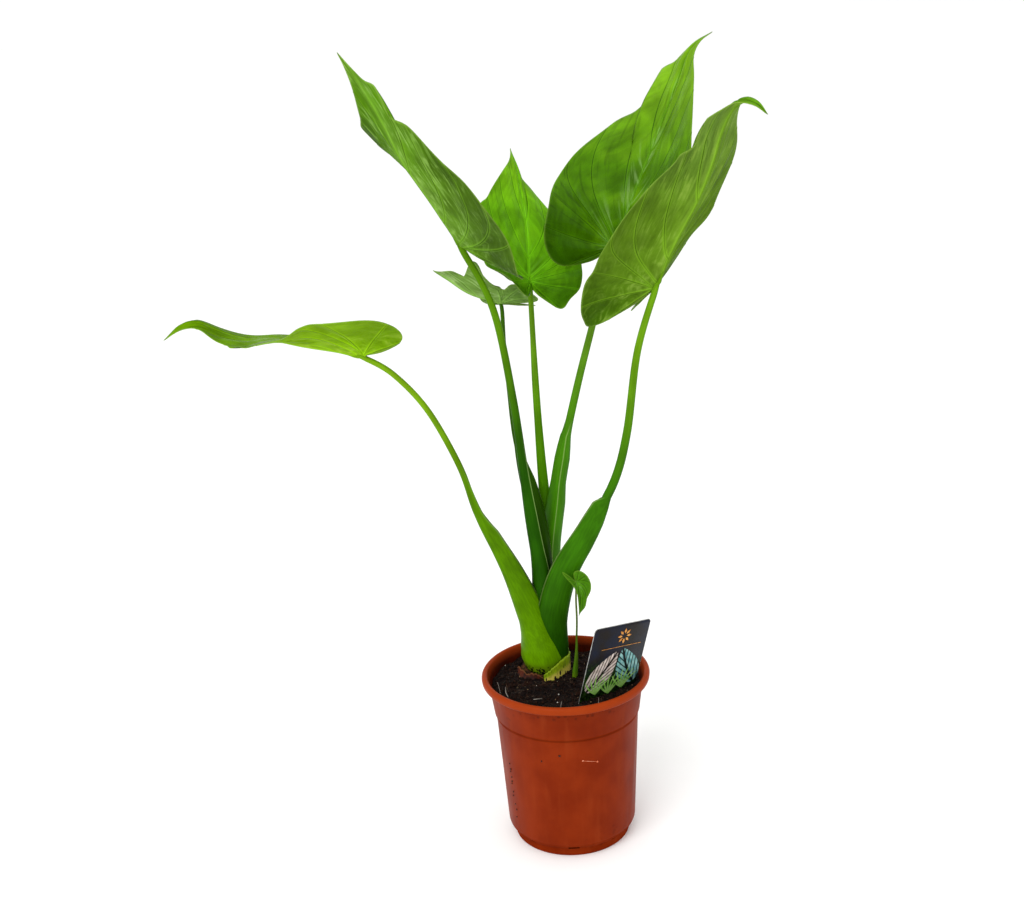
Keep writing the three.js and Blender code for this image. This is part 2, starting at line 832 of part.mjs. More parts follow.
// A smooth bump of height 1.
function hump(value, middle, width) {
  return Math.exp(-(((value - middle) / width) ** 2));
}

function foldAt(folds, share) {
  const { foldPlaces, foldWidth } = BLADE;
  return folds.reduce((sum, fold, i) => sum + fold * hump(share, foldPlaces[i], foldWidth), 0);
}

function rippleAt(blade, side, share) {
  const turns = BLADE.ripples * share + blade.phase + (side ? 0 : 0.35);
  return BLADE.ripple * (blade.halfWidth[side] / 80) * Math.sin(2 * Math.PI * turns);
}

// Bends a flat blade to its pose: it follows the spine, each half lifts from the side
// direction towards the upper face and curls, the lobes lift on their own, and the
// margin folds and waves.
function bladeSurface(blade, spine, length) {
  const heart = spine.distanceTo(1);
  const faces = blade.face.map(facing);
  return (along, across, row, column) => {
    const share = along / length;
    const frame = frameAt(spine, heart + along, betweenVectors(faces, share));
    const side = across < 0 ? 0 : 1;
    const half = blade.halfWidth[side];
    const lobe = Math.min(Math.max(-along / blade.lobe[side], 0), 1);
    const lift = radians(between(blade.lift[side], share) + blade.lobeLift[side] * lobe);
    const curl = radians(between(blade.curl[side], share)) / half || 1e-9;
    const reach = Math.abs(across);
    const turn = lift + curl * reach;
    const out = (Math.sin(turn) - Math.sin(lift)) / curl;
    const up = (Math.cos(lift) - Math.cos(turn)) / curl;
    const wave = foldAt(blade.fold[side], share) + rippleAt(blade, side, share);
    const margin = (reach / half) ** 2 * wave;
    const quilt = BLADE.quilt * (1 - Math.cos((2 * Math.PI * row) / BLADE.rowsPerVein))
      * Math.sin((Math.PI * column) / BLADE.columns) * (half / 80);
    const point = frame.point.clone()
      .addScaledVector(frame.side, side ? out : -out)
      .addScaledVector(frame.inner, up + margin + quilt);
    const upper = frame.inner.clone().multiplyScalar(Math.cos(turn))
      .addScaledVector(frame.side, (side ? -1 : 1) * Math.sin(turn));
    return { point, upper };
  };
}

// The blade as a closed body, split into triangles alike on both faces.
function buildBlade(blade, grow) {
  const spine = new Route(blade.spine);
  const length = spine.length - spine.distanceTo(1);
  const { points, triangles } = flatBlade(blade, length);
  const surface = bladeSurface(blade, spine, length);
  const scale = Math.min(blade.halfWidth[0] / 60, 1);
  const top = [];
  const under = [];
  for (const { along, across, row, column } of points) {
    const { point, upper } = surface(along, across, row, column);
    const taper = Math.max(1 - along / length, 0) ** 0.5;
    const keel = column === 0 ? BLADE.keel * scale * taper : 0;
    top.push(point.clone().addScaledVector(upper, BLADE.thickness / 2 + grow));
    under.push(point.clone().addScaledVector(upper, -BLADE.thickness / 2 - keel - grow));
  }
  const count = points.length;
  const faces = [];
  const edges = new Map();
  for (const [a, b, c] of triangles) {
    faces.push([a, b, c]);
    faces.push([a + count, c + count, b + count]);
    for (const [from, to] of [[a, b], [b, c], [c, a]]) {
      edges.set(`${from} ${to}`, [from, to]);
    }
  }
  for (const [from, to] of edges.values()) {
    if (!edges.has(`${to} ${from}`)) {
      faces.push([from + count, to + count, to]);
      faces.push([from + count, to, from]);
    }
  }
  return toSolid(indexedGeometry(top.concat(under), faces));
}

// A blade with its clearance, for cutting the end of its stalk.
function bladeRoom(blade) {
  const halfWidth = blade.halfWidth.map((width) => width + 2 * GAP);
  return buildBlade({ ...blade, halfWidth, notch: blade.notch + 4 * GAP }, GAP);
}

// The young side shoot.

function buildShootStalk() {
  const route = new Route(SHOOT.route);
  const rings = [];
  const rows = 10;
  for (let row = 0; row <= rows; row += 1) {
    const share = row / rows;
    const radius = SHOOT.topRadius + (SHOOT.baseRadius - SHOOT.topRadius) * (1 - share) ** 1.6;
    const frame = frameAt(route, share * route.length, new THREE.Vector3(0, -1, 0));
    rings.push(stalkSection(2 * radius, radius, radius, 0, 8).map((corner) => placeIn(frame, corner)));
  }
  return toSolid(loft(rings));
}

// The label.

function buildLabel(grow) {
  const { width, height, cornerRadius, tongueWidth, tongueLength, thickness } = LABEL;
  const left = (width - tongueWidth) / 2;
  const shape = new THREE.Shape();
  shape.moveTo(width / 2 - 3, -tongueLength - grow);
  shape.lineTo(width / 2 + 3, -tongueLength - grow);
  shape.lineTo(left + tongueWidth + grow, -tongueLength + 8);
  shape.lineTo(left + tongueWidth + grow, -grow);
  shape.lineTo(width + grow, -grow);
  shape.lineTo(width + grow, height - cornerRadius);
  shape.absarc(width - cornerRadius, height - cornerRadius, cornerRadius + grow, 0, Math.PI / 2);
  shape.absarc(cornerRadius, height - cornerRadius, cornerRadius + grow, Math.PI / 2, Math.PI);
  shape.lineTo(-grow, -grow);
  shape.lineTo(left - grow, -grow);
  shape.lineTo(left - grow, -tongueLength + 8);
  const depth = thickness + 2 * grow;
  const geometry = new THREE.ExtrudeGeometry(shape, { depth, bevelEnabled: false, curveSegments: 4 });
  geometry.translate(0, 0, -depth / 2);
  geometry.rotateZ(-radians(LABEL.lean));
  geometry.rotateX(Math.PI / 2 + radians(LABEL.forward));
  geometry.rotateZ(radians(LABEL.turn));
  geometry.translate(...LABEL.corner);
  return toSolid(geometry);
}

// The scene graph: every piece is one mesh.

const plant = new THREE.Group();

function addPiece(name, solid, colour, roughness) {
  const material = new THREE.MeshStandardMaterial({ color: colour, roughness, metalness: 0 });
  const mesh = new THREE.Mesh(toGeometry(solid), material);
  mesh.name = name;
  plant.add(mesh);
}

addPiece('pot', buildPot(), COLOUR.pot, 0.45);
addPiece('soil', buildSoil(), COLOUR.soil, 0.95);
addPiece('corm', buildCorm(), COLOUR.corm, 0.8);
addPiece('husk', buildStrip(HUSK, CLUMP.foot - 10), COLOUR.husk, 0.85);
addPiece('old_sheath', buildStrip(SCALE, CLUMP.foot - 10), COLOUR.scale, 0.7);

// Stalks stand on the clump's foot. They are listed from the outermost sheath inwards,
// and each is cut by those already placed, so that the sheaths nest.
let placed = cylinderSolid(2 * CLUMP.radius, 100, CLUMP.foot + GAP, CLUMP.x, CLUMP.y, 24);
for (const leaf of LEAVES) {
  const whole = buildStalk(leaf.stalk, 0).subtract(placed);
  const stalk = largestBody(whole.subtract(bladeRoom(leaf.blade)));
  addPiece(`petiole_${leaf.name}`, stalk, leaf.colour, 0.45);
  addPiece(`blade_${leaf.name}`, buildBlade(leaf.blade, 0), leaf.colour, 0.4);
  placed = placed.add(buildStalk(leaf.stalk, GAP));
}

const shootStalk = buildShootStalk().subtract(bladeRoom(SHOOT.blade));
addPiece('shoot_petiole', largestBody(shootStalk), SHOOT.colour, 0.45);
addPiece('shoot_blade', buildBlade(SHOOT.blade, 0), SHOOT.colour, 0.4);
addPiece('label', buildLabel(0), COLOUR.label, 0.3);

export default plant;
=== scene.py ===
"""Looks of a potted Chinese taro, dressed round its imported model.

Lengths are millimetres and angles are degrees, but the floor and the light are in metres,
and a finish's scales are those of the coordinates that it reads. The plant follows the
model's named values, apart from a few more bites in its leaves, longer lobes on leaf d,
thinner strips at the clump's foot and a slightly lower mound of soil.
"""
import math

import bpy
import numpy as np
from mathutils import Matrix, Vector


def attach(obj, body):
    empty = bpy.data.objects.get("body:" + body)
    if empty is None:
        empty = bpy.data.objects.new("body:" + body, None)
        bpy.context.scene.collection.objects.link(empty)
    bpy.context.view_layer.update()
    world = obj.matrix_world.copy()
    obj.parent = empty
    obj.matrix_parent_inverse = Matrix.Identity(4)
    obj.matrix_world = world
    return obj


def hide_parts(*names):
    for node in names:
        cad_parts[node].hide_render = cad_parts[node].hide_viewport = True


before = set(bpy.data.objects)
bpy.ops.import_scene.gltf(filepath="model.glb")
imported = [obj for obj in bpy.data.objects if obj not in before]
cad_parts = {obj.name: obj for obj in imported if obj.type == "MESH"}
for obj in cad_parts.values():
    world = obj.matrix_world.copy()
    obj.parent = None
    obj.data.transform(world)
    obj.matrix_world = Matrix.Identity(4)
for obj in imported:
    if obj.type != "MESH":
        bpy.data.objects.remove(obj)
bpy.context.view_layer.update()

MM = 0.001

# The camera of the photograph: where it stands, where it looks and how long its lens is.
CAMERA = {"place": (0, -1350, 837.7), "yaw": -1.729, "pitch": 17.463, "roll": -3.353}
LENS = 51.72
SENSOR = 36.0

# The last pair of heights is where the painted shade on the pot's inner wall fades out.
POT = {
    "height": 178, "rim_radius": 85, "rim_height": 9,
    "collar_top": 78, "collar_bottom": 73.6, "ridge_height": 137,
    "body_top": 72, "body_bottom": 65.4, "heel_height": 14, "heel_step": 8.5, "foot_radius": 58,
    "wall": 2, "floor": 3, "pad_radius": 13, "lift": 1.6, "sides": 180,
    "corner": 2.0, "painted_shade_inside": (169, 176),
}
DRAIN = {
    "count": 8, "radius": 4.2, "ring": 44, "sides": 24, "cut": (-5, 12),
    "slot_width": 11, "slot_height": 4.2, "slot_cut": (-2, 8),
}
SOIL = {
    "edge": 162.5, "mound": 166, "mound_width": 26, "roughness": 0.9, "rings": 84, "sides": 300,
    "wall_gap": 0.6, "edge_gap": 0.1, "bare_edge": 2.5, "lumps": ((7, 0.9), (3, 0.9), (1.3, 0.5)),
}

# What lies in the soil: how many places are tried for it, its smallest and largest sizes,
# and how far the middle of a lump is above the soil, as a share of its size.
CRUMBS = {"count": 1500, "size": (0.7, 2.0), "stand": 0.15}
BITS = {"count": 70, "size": (0.4, 1.0), "stand": 0.4}
GRIT = {"count": 14, "size": (0.4, 0.9), "stand": 0.5}
FIBRES = {"count": 330, "length": (3, 13), "bow": (-0.6, 0.6), "rise": (0.1, 0.9), "radius": (0.1, 0.28)}

CLUMP = {"centre": (-21.5, 30), "radius": 26, "foot": 171}
# Strips round the clump's foot: how high they stand above their lower edge, from and to
# which angle they reach, and how their upper edge is torn.
STRIP = {"bottom": CLUMP["foot"] - 10, "gap": 0.5, "steps": 24, "levels": 9, "crease": 0.5, "fray": 0.6}
HUSK = {
    "thickness": 0.9, "heights": (6, 12, 13, 11, 13, 9), "from": 175, "to": 267,
    "teeth": 7, "ragged": 0.16, "flare": 9,
}
OLD_SHEATH = {
    "thickness": 1.0, "heights": (11, 18, 23, 25, 24, 20, 13), "from": 269, "to": 395,
    "teeth": 5, "ragged": 0.04, "flare": 0,
}

# Stalk: where its keel runs under the blade, as how far up the midrib and how deep, how much
# thinner it is at its end, and between which heights its soiled foot turns clean. It starts
# thinning a little before the blade and closes to a blunt end. Its foot is drawn in over the
# first share of its length. Its channel is at its full depth, and its margins at their
# palest, where its wing is at least so wide.
STALK = {
    "rows": 120, "sides": 40,
    "keel": ((0, 2.4), (8, 1.9), (20, 1.2)), "keel_taper": 0.65, "soiled": (174, 189),
    "thinning": 6, "end": 3, "blunt": 0.1, "foot": 0.02, "risen": 0.12, "open": 0.1,
}

# Blade: rows run along the outline and columns from the midrib to the margin. Ripples and
# quilting have their full height where a half is as wide as "broad", and veins their full
# width where it is as wide as "vein_full".
BLADE = {
    "thickness": 0.9, "rim_thickness": 0.6, "rim_width": 0.9, "rows": 150, "columns": 40,
    "tear_fan": 0.06, "tear_sweep": 1.2,
    "ripple": 1.5, "ripples": 3, "broad": 80, "vein_full": 60,
    "fold_places": (0.2, 0.48, 0.74), "fold_width": 0.14,
}
# Veins: where the main side veins end, as shares of half the outline from the notch to
# the tip, how they fan out of the heart, and how they bend towards the tip. The pattern
# that finishes draw along them is shifted between the two halves.
VEIN = {
    "ends": (0.12, 0.25, 0.38, 0.51, 0.65, 0.78, 0.89),
    "fan": 0.06, "sweep": 4.5, "bend": 3.0,
    "width": 1.5, "end_width": 0.5, "ridge": 0.7, "groove": 0.35,
    "midrib_width": 3.0, "midrib_tip": 0.8, "midrib_ridge": 2.2, "midrib_groove": 0.5,
    "quilt": 2.2, "ruffle": 0.35, "points": 41, "shift": 3.7,
}

# One half of the heart outline, as in the model: lobe or length shares along, half
# width shares across.
HEART = (
    (-0.5, 0.09), (-0.92, 0.3), (-1.0, 0.52), (-0.78, 0.78), (-0.3, 0.95), (0.08, 1.0),
    (0.27, 0.93), (0.5, 0.67), (0.7, 0.37), (0.84, 0.15), (0.93, 0.05), (1.0, 0.0),
)

# Every leaf, from the outermost sheath inwards. The stalk's and the blade's values mean
# what they mean in the model. A bite is in one half, at a share of its outline, with its
# depth and width as shares, and one of negative depth is a bulge. "looks" are colours: of
# the upper and the under face over the lobes, in the middle and at the tip, of the under
# face's pale streaks, and of the stalk at its foot, middle and top. The first number in
# "looks" is painted light and shade: how much lighter or darker the faces are painted far
# from the midrib. "gloss" says how much the upper face shines, and how strong the painted
# highlights are where its veins meet. "easing" is how far to each side the midrib's
# direction is averaged, which the model leaves out.
LEAVES = (
    {
        "name": "a",
        "stalk": {
            "route": (
                (-21, 30, 155), (-22, 28, 195), (-32.5, 20, 235), (-49, 12, 285), (-76, 6, 345),
                (-91, 2, 396), (-118, -1, 456), (-148, -5, 495), (-174, -8, 515),
            ),
            "inward": ((0, 1, 0), (0.7, 0.65, 0.1), (0.9, 0.2, 0.5), (0.7, 0.15, 0.7), (0.5, 0.1, 0.9)),
            "base": (51, 28, -20), "top": (6, 3, 2.4), "taper": 0.4, "foot": 0.93,
            "wing": (
                (0, 0.7), (0.04, 0.8), (0.07, 0.97), (0.11, 0.9), (0.15, 0.7), (0.19, 0.52),
                (0.3, 0.34), (0.41, 0.16), (0.5, 0.06), (0.65, 0),
            ),
            "rise": 8,
        },
        "blade": {
            "half_width": (70, 68), "lobe": (36, 36), "notch": 4,
            "spine": (
                (-127, -4, 514), (-174, -8, 516), (-202, 1, 520), (-233, 7, 525), (-262, 8, 532),
                (-287, 7, 534), (-309, 3, 542), (-328, -3, 553), (-343, -10, 552), (-358, -18, 542),
            ),
            "face": ((163, 79), (215, 85), (-34, 57)),
            "lift": ((36, -2, -7), (25, -8, -7)),
            "curl": ((-10, 9, -2), (-9, -1, -4)),
            "fold": ((4, 1, -1), (2, -1, -1)),
            "lobe_lift": (-2, 1), "phase": 0.1, "easing": 12,
            "bites": ((-1, 0.752, -0.12, 0.012), (-1, 0.72, 0.06, 0.02), (1, 0.862, -0.15, 0.015)),
        },
        "looks": {
            "upper": ("#567c00", "#5e8600", "#527a00"),
            "under": ("#608a06", "#6e980a", "#5c8608"),
            "pale": "#a0bc40",
            "stalk": ("#588600", "#467000", "#6c9410"),
            "outer": 1.0, "gloss": 0.03,
        },
    },
    {
        "name": "f",
        "stalk": {
            "route": (
                (-20, 30, 155), (-18, 27, 200), (-10, 20, 245), (4.5, 10, 288), (30.5, 0, 332),
                (55.5, -5, 377), (69.5, -10, 428), (81, -22, 509), (97, -31, 570),
            ),
            "inward": (
                (-0.95, 0.3, 0), (-0.8, 0.45, 0.3), (-0.8, 0.4, 0.4), (-0.8, 0.4, 0.4), (-0.8, 0.4, 0.4),
            ),
            "base": (38, 27.5, -8), "top": (6.4, 3.2, 2.8), "taper": 0.95, "foot": 0.93,
            "wing": (
                (0, 0.8), (0.1, 0.86), (0.165, 0.68), (0.34, 0.52),
                (0.38, 0.47), (0.45, 0.31), (0.485, 0.15), (0.51, 0),
            ),
            "rise": 8,
        },
        "blade": {
            "half_width": (78, 73), "lobe": (46, 57), "notch": 5,
            "spine": (
                (67, -16, 535), (97, -31, 570), (109, -42, 599), (122, -54, 627), (135, -67, 654),
                (146, -84, 686), (152, -99, 712), (159, -112, 730), (166, -120, 738),
                (177, -128, 736), (185, -138, 728),
            ),
            "face": ((-131, 22), (-138, 27), (-127, 30)),
            "lift": ((29, 18, 8), (28, 23, 6)),
            "curl": ((-10, -7, -3), (-8, -8, -7)),
            "fold": ((-4, 2, -1), (-6, 0, -1)),
            "lobe_lift": (-2, -13), "phase": 0.7, "easing": 30,
            "bites": (
                (1, 0.17, -0.04, 0.02), (1, 0.765, -0.08, 0.015), (1, 0.852, -0.12, 0.015),
                (1, 0.8, 0.15, 0.03), (1, 0.87, -0.25, 0.03),
            ),
        },
        "looks": {
            "upper": ("#305800", "#3c6600", "#5a8c14"),
            "under": ("#385c04", "#567a16", "#648630"),
            "pale": "#80a03c",
            "stalk": ("#143a00", "#2e6004", "#5c880c"),
            "outer": 0.8, "gloss": 0.04,
        },
    },
    {
        "name": "b",
        "stalk": {
            "route": (
                (-22, 31, 155), (-21, 28, 200), (-19, 22, 245), (-20, 15, 285), (-25, 11, 330),
                (-30, 9, 379), (-37, 2, 463), (-50, -11, 553), (-73, -23, 615),
            ),
            "inward": ((0.5, 0.85, 0), (0.6, 0.8, 0.2), (0.67, 0.75, 0.3)),
            "base": (30, 12, 4), "top": (6.2, 3.1, 2.8), "taper": 0.75, "foot": 1,
            "wing": (
                (0, 1), (0.1, 0.95), (0.2, 0.75), (0.26, 0.55), (0.32, 0.33),
                (0.4, 0.25), (0.47, 0.11), (0.55, 0.02), (0.6, 0),
            ),
            "rise": 1,
        },
        "blade": {
            "half_width": (73, 77), "lobe": (32, 44), "notch": 5,
            "spine": (
                (-50, 12, 584), (-73, -23, 615), (-86, -42, 640), (-97, -59, 663), (-108, -73, 684),
                (-118, -86, 704), (-127, -99, 729), (-137, -110, 753), (-149, -120, 777),
                (-159, -126, 795),
            ),
            "face": ((111, 15), (131, 20), (144, 14)),
            "lift": ((21, 9, -7), (31, 15, -5)),
            "curl": ((-6, 2, 5), (-3, -5, -2)),
            "fold": ((4, 1, -3), (0, 0, -5)),
            "lobe_lift": (8, -5), "phase": 0.6, "easing": 25,
            "bites": ((-1, 0.818, 0.42, 0.03), (-1, 0.885, -0.4, 0.02), (1, 0.735, -0.12, 0.04)),
        },
        "looks": {
            "upper": ("#2c5200", "#386800", "#4e8404"),
            "under": ("#304e00", "#52781c", "#4e7e06"),
            "pale": "#90b858",
            "stalk": ("#123800", "#1c4800", "#507c06"),
            "outer": 0.55, "gloss": 0.04,
        },
    },
    {
        "name": "e",
        "stalk": {
            "route": (
                (-19, 34, 155), (-16, 36, 205), (-11, 37, 250), (-10, 38, 290), (-5, 40, 325),
                (8, 47, 391), (26.5, 60, 460), (45.5, 78, 520), (66, 96, 588),
            ),
            "inward": ((-0.6, -0.6, 0.2), (-0.8, -0.5, 0.2), (-0.7, -0.6, 0.3)),
            "base": (23, 15, 8), "top": (6, 3, 2.8), "taper": 0.9, "foot": 1,
            "wing": (
                (0, 1), (0.3, 0.8), (0.42, 0.75), (0.465, 0.48),
                (0.52, 0.5), (0.545, 0.35), (0.575, 0.1), (0.61, 0),
            ),
            "rise": 4,
        },
        "blade": {
            "half_width": (78, 79), "lobe": (54, 54), "notch": 5,
            "spine": (
                (33, 74, 557), (66, 96, 588), (85, 111, 623), (101, 125, 655), (115, 139, 683),
                (129, 153, 712), (143, 167, 740), (152, 178, 760), (164, 187, 774), (180, 195, 783),
            ),
            "face": ((-18, 16), (-40, 16), (-62, 23)),
            "lift": ((30, 13, -2), (30, 20, 3)),
            "curl": ((11, 0, -5), (1, -3, 1)),
            "fold": ((0, 0, -2), (0, 0, -2)),
            "lobe_lift": (-1, -1), "phase": 0.8, "easing": 30,
            "bites": (
                (-1, 0.79, 0.33, 0.035), (-1, 0.855, -0.35, 0.02), (-1, 0.835, -0.28, 0.014),
                (-1, 0.73, 0.17, 0.035),
            ),
        },
        "looks": {
            "upper": ("#264c00", "#3e6a00", "#6c9c10"),
            "under": ("#38600a", "#466c10", "#5c880e"),
            "pale": "#88a848",
            "stalk": ("#2a6000", "#3a7206", "#567c18"),
            "outer": 1.12, "gloss": 0.12,
        },
    },
    {
        "name": "c",
        "stalk": {
            "route": (
                (-20, 38, 155), (-18, 42, 205), (-14, 45, 250), (-11, 47, 300), (-12, 50, 340),
                (-14, 58, 392), (-15.5, 73, 452), (-16, 94, 506), (-16, 113, 554),
            ),
            "inward": ((0, -1, 0.1), (0, -1, 0.1), (0, -0.9, 0.3)),
            "base": (22, 16, 6), "top": (5.2, 2.7, 2.3), "taper": 0.6, "foot": 1,
            "wing": (
                (0, 1), (0.2, 0.7), (0.4, 0.4), (0.53, 0.23),
                (0.65, 0.11), (0.77, 0.07), (0.86, 0),
            ),
            "rise": 0,
        },
        "blade": {
            "half_width": (64, 54), "lobe": (38, 49), "notch": 11,
            "spine": (
                (-6, 77, 529), (-16, 113, 554), (-17, 132, 583), (-18, 154, 608), (-22, 185, 636),
                (-26, 211, 656), (-31, 237, 674),
            ),
            "face": ((13, 41), (32, 31), (61, 19)),
            "lift": ((36, 10, -3), (18, -2, -18)),
            "curl": ((6, -7, -1), (3, -10, -3)),
            "fold": ((1, -3, 0), (0, -1, 0)),
            "lobe_lift": (14, -1), "phase": 0.5, "easing": 25,
            "bites": (
                (1, 0.135, -0.05, 0.03), (1, 0.2, 0.1, 0.045), (1, 0.864, 0.4, 0.03),
                (-1, 0.6, -0.08, 0.03),
            ),
        },
        "looks": {
            "upper": ("#305c02", "#5a980c", "#68a010"),
            "under": ("#3a600a", "#4c7016", "#587e1c"),
            "pale": "#88a848",
            "stalk": ("#2a5c00", "#3e7000", "#568010"),
            "outer": 0.85, "gloss": 0.02,
        },
    },
    {
        "name": "d",
        "stalk": {
            "route": (
                (-22, 36, 155), (-20, 33, 205), (-16, 30, 250), (-17, 29, 300), (-23, 38, 345),
                (-38, 62, 403), (-43, 92, 450), (-46, 117, 490), (-48, 145, 526),
            ),
            "inward": (
                (0.3, 0.9, 0.1), (0.3, 0.9, 0.1), (0.3, 0.9, 0.2), (0.8, 0.1, 0.6), (0.3, -0.6, 0.8),
            ),
            "base": (20, 11, -6), "top": (4.2, 2.1, 1.8), "taper": 0.6, "foot": 1,
            "wing": (
                (0, 1), (0.3, 0.85), (0.45, 0.85), (0.53, 0.8),
                (0.57, 0.5), (0.62, 0.06), (0.68, 0),
            ),
            "rise": 2,
        },
        "blade": {
            "half_width": (42, 43), "lobe": (36, 36), "notch": 3,
            "spine": (
                (9, 147, 517), (-47, 145, 527), (-64, 141, 533), (-83, 143, 541), (-100, 151, 552),
                (-117, 164, 561),
            ),
            "face": ((167, 73), (177, 75), (190, 65)),
            "lift": ((30, 48, 52), (3, 20, 8)),
            "curl": ((-4, -5, 1), (-3, 2, -5)),
            "fold": ((-13, 7, -4), (-3, 0, -3)),
            "lobe_lift": (-11, 6), "phase": 0.6, "easing": 10,
            "bites": ((-1, 0.51, 0.42, 0.055), (-1, 0.775, 0.35, 0.035), (-1, 0.72, -0.3, 0.025)),
        },
        "looks": {
            "upper": ("#526e2c", "#5a7a30", "#526e2c"),
            "under": ("#52742c", "#5e8034", "#547430"),
            "pale": "#a0bc78",
            "stalk": ("#1a3800", "#224400", "#345a0c"),
            "outer": 0.8, "gloss": 0.02,
        },
    },
)

SHOOT = {
    "route": (
        (8, 8, 148), (9, 8, 162), (12, 6, 191), (13, 4, 211), (14, 0, 232), (14, -5, 256),
        (15, -7, 274),
    ),
    "base_radius": 3, "top_radius": 1, "rows": 70, "sides": 16, "soiled": (166, 176),
    "blade": {
        "rows": 60, "columns": 16,
        "half_width": (15, 5), "lobe": (9, 17), "notch": 1,
        "spine": ((3, -7, 289), (15, -8, 276), (19, -12, 268), (19, -15, 260), (16, -16, 243)),
        "face": ((-10, 10), (-10, 10), (-10, 0)),
        "lift": ((10, 20, 20), (20, 30, 30)),
        "curl": ((20, 20, 20), (0, 0, 0)),
        "fold": ((0, 0, 0), (0, 0, 0)),
        "lobe_lift": (0, 0), "phase": 0, "easing": 3,
        "bites": ((-1, 0.68, 0.35, 0.1),),
    },
    "looks": {
        "upper": ("#3c6a08", "#366400", "#2e5a00"),
        "under": ("#48640c", "#4a6c10", "#2e5a00"),
        "pale": "#80a848",
        "stalk": ("#3a7408", "#4a6814", "#5c6a34"),
        "outer": 0.9, "gloss": 0.1,
    },
}

# Pale threads, which stand up from the soil, two of them by the pot's wall, or lie on it.
THREADS = (
    ((-66, -22, 166), (-67, -20, 171), (-68, -22, 178)),
    ((-58, -30, 165), (-60, -29, 170), (-60, -27, 175)),
    ((-6, -58, 164), (-6, -58, 168), (-5, -58, 172)),
    ((30, -52, 163), (31, -53, 168), (31, -53, 172)),
    ((-33, -37, 165), (-28, -38, 166), (-24, -36, 165)),
)
THREAD_RADIUS = 0.32

# Drops of dried soil and the scratch on the pot, each as an azimuth from +X and a height.
SPLASHES = (
    (-150, 94), (-149, 88), (-150, 85), (-149, 79), (-149, 74), (-150, 71), (-149, 62), (-150, 57),
    (-148, 48), (-147, 42), (-148, 33), (-98, 120), (-113, 112), (-63, 140), (-88, 144), (-86, 147),
)
SPLASH_SIZES = (0.88, 1.36)
SCRATCH = ((-79.6, 113), (-67.5, 109))
SCRATCH_ENDS = (1.04, 1.2)
SCRATCH_RADIUS = 0.3

LABEL = {
    "corner": (11, -47, 163), "turn": 35, "lean": 8, "forward": 12,
    "width": 71, "height": 85, "thickness": 0.8, "corner_radius": 4,
    "tongue_width": 26, "tongue_length": 24, "tongue_taper": 8, "tongue_end": 6, "edge_inset": 0.25,
    "ornament": (40, 71), "lozenges": 8, "lozenge": ((2.6, 0), (5.6, 1.5), (8.8, 0), (5.6, -1.5)),
    "line": (14, 64), "line_height": 59, "line_width": 0.45, "line_steps": 20,
    "motifs": (
        {
            "foot": (6, 12), "turn": 54, "length": 52, "width": 27, "bow": -2,
            "ribs": 5, "slant": 0.7, "ink": ("#a89a90", "#d4c8c0", "#140c0a"),
        },
        {
            "foot": (65, 14), "turn": 118, "length": 48, "width": 28, "bow": 2,
            "ribs": 5, "slant": 0.6, "ink": ("#4e8a8c", "#8cbab6", "#04100f"),
        },
    ),
    "leaf_grid": (40, 8), "print_lift": 0.05, "ornament_lift": 0.4,
    "tufts": ((19, 7), (36, 5), (52, 9)), "turns": (46, 62, 80, 98, 116, 134),
    "blade": {
        "length": 24, "width": 2.0, "bow": 1.5,
        "ribs": 2, "slant": 0.0, "ink": ("#78b448", "#b0dc80", "#78b448"),
    },
}

# The stage, in metres: half the floor's side, and the one soft light beside the bright world.
FLOOR_HALF = 40
WORLD_STRENGTH = 1.05
LIGHT = {"place": (-1.2, -2.2, 2.4), "aim": (0, 0, 0.4), "size": 2.0, "watts": 60}


# Curves and angles

class Route:
    """A smooth curve through points, measured by the distance along it."""

    steps = 40

    def __init__(self, places):
        places = np.array(places, float)
        before = 2 * places[:1] - places[1:2]
        after = 2 * places[-1:] - places[-2:-1]
        ends = np.vstack([before, places, after])
        slopes = (ends[2:] - ends[:-2]) / 2
        t = np.linspace(0, 1, self.steps, endpoint=False)[:, None]
        pieces = []
        for i in range(len(places) - 1):
            pieces.append(
                (2 * t**3 - 3 * t**2 + 1) * places[i] + (t**3 - 2 * t**2 + t) * slopes[i]
                + (3 * t**2 - 2 * t**3) * places[i + 1] + (t**3 - t**2) * slopes[i + 1]
            )
        self.points = np.vstack(pieces + [places[-1:]])
        lengths = np.linalg.norm(np.diff(self.points, axis=0), axis=1)
        self.distances = np.concatenate([[0], np.cumsum(lengths)])
        self.length = self.distances[-1]
        index = np.arange(len(self.points))
        ahead = self.points[np.minimum(index + 1, index[-1])]
        behind = self.points[np.maximum(index - 1, 0)]
        self.directions = unit(ahead - behind)

    def distance_to(self, place):
        return self.distances[self.steps * place]

    def at(self, distance):
        """Points and directions at distances, carried on straight past both ends."""
        distance = np.asarray(distance, float)
        inside = np.clip(distance, 0, self.length)
        point = self.along(self.points, inside)
        direction = unit(self.along(self.directions, inside))
        return point + direction * (distance - inside)[..., None], direction

    def along(self, values, distance):
        return np.stack([np.interp(distance, self.distances, v) for v in values.T], axis=-1)


def unit(vectors):
    return vectors / np.linalg.norm(vectors, axis=-1)[..., None]


def circle(sides):
    """Evenly spaced angles once round."""
    return np.arange(sides) * 2 * math.pi / sides


def hoop(centre, radius, angle, height):
    """Points round an upright axis."""
    x, y = centre[0] + radius * np.cos(angle), centre[1] + radius * np.sin(angle)
    return np.stack(np.broadcast_arrays(x, y, height), axis=-1)


def part_way(first, last, share):
    return first + (last - first) * share


def facing(azimuth, height):
    """The direction that looks to an azimuth, 0 being the front, and up by an angle."""
    azimuth, height = math.radians(azimuth), math.radians(height)
    level = math.cos(height)
    return level * math.sin(azimuth), -level * math.cos(azimuth), math.sin(height)


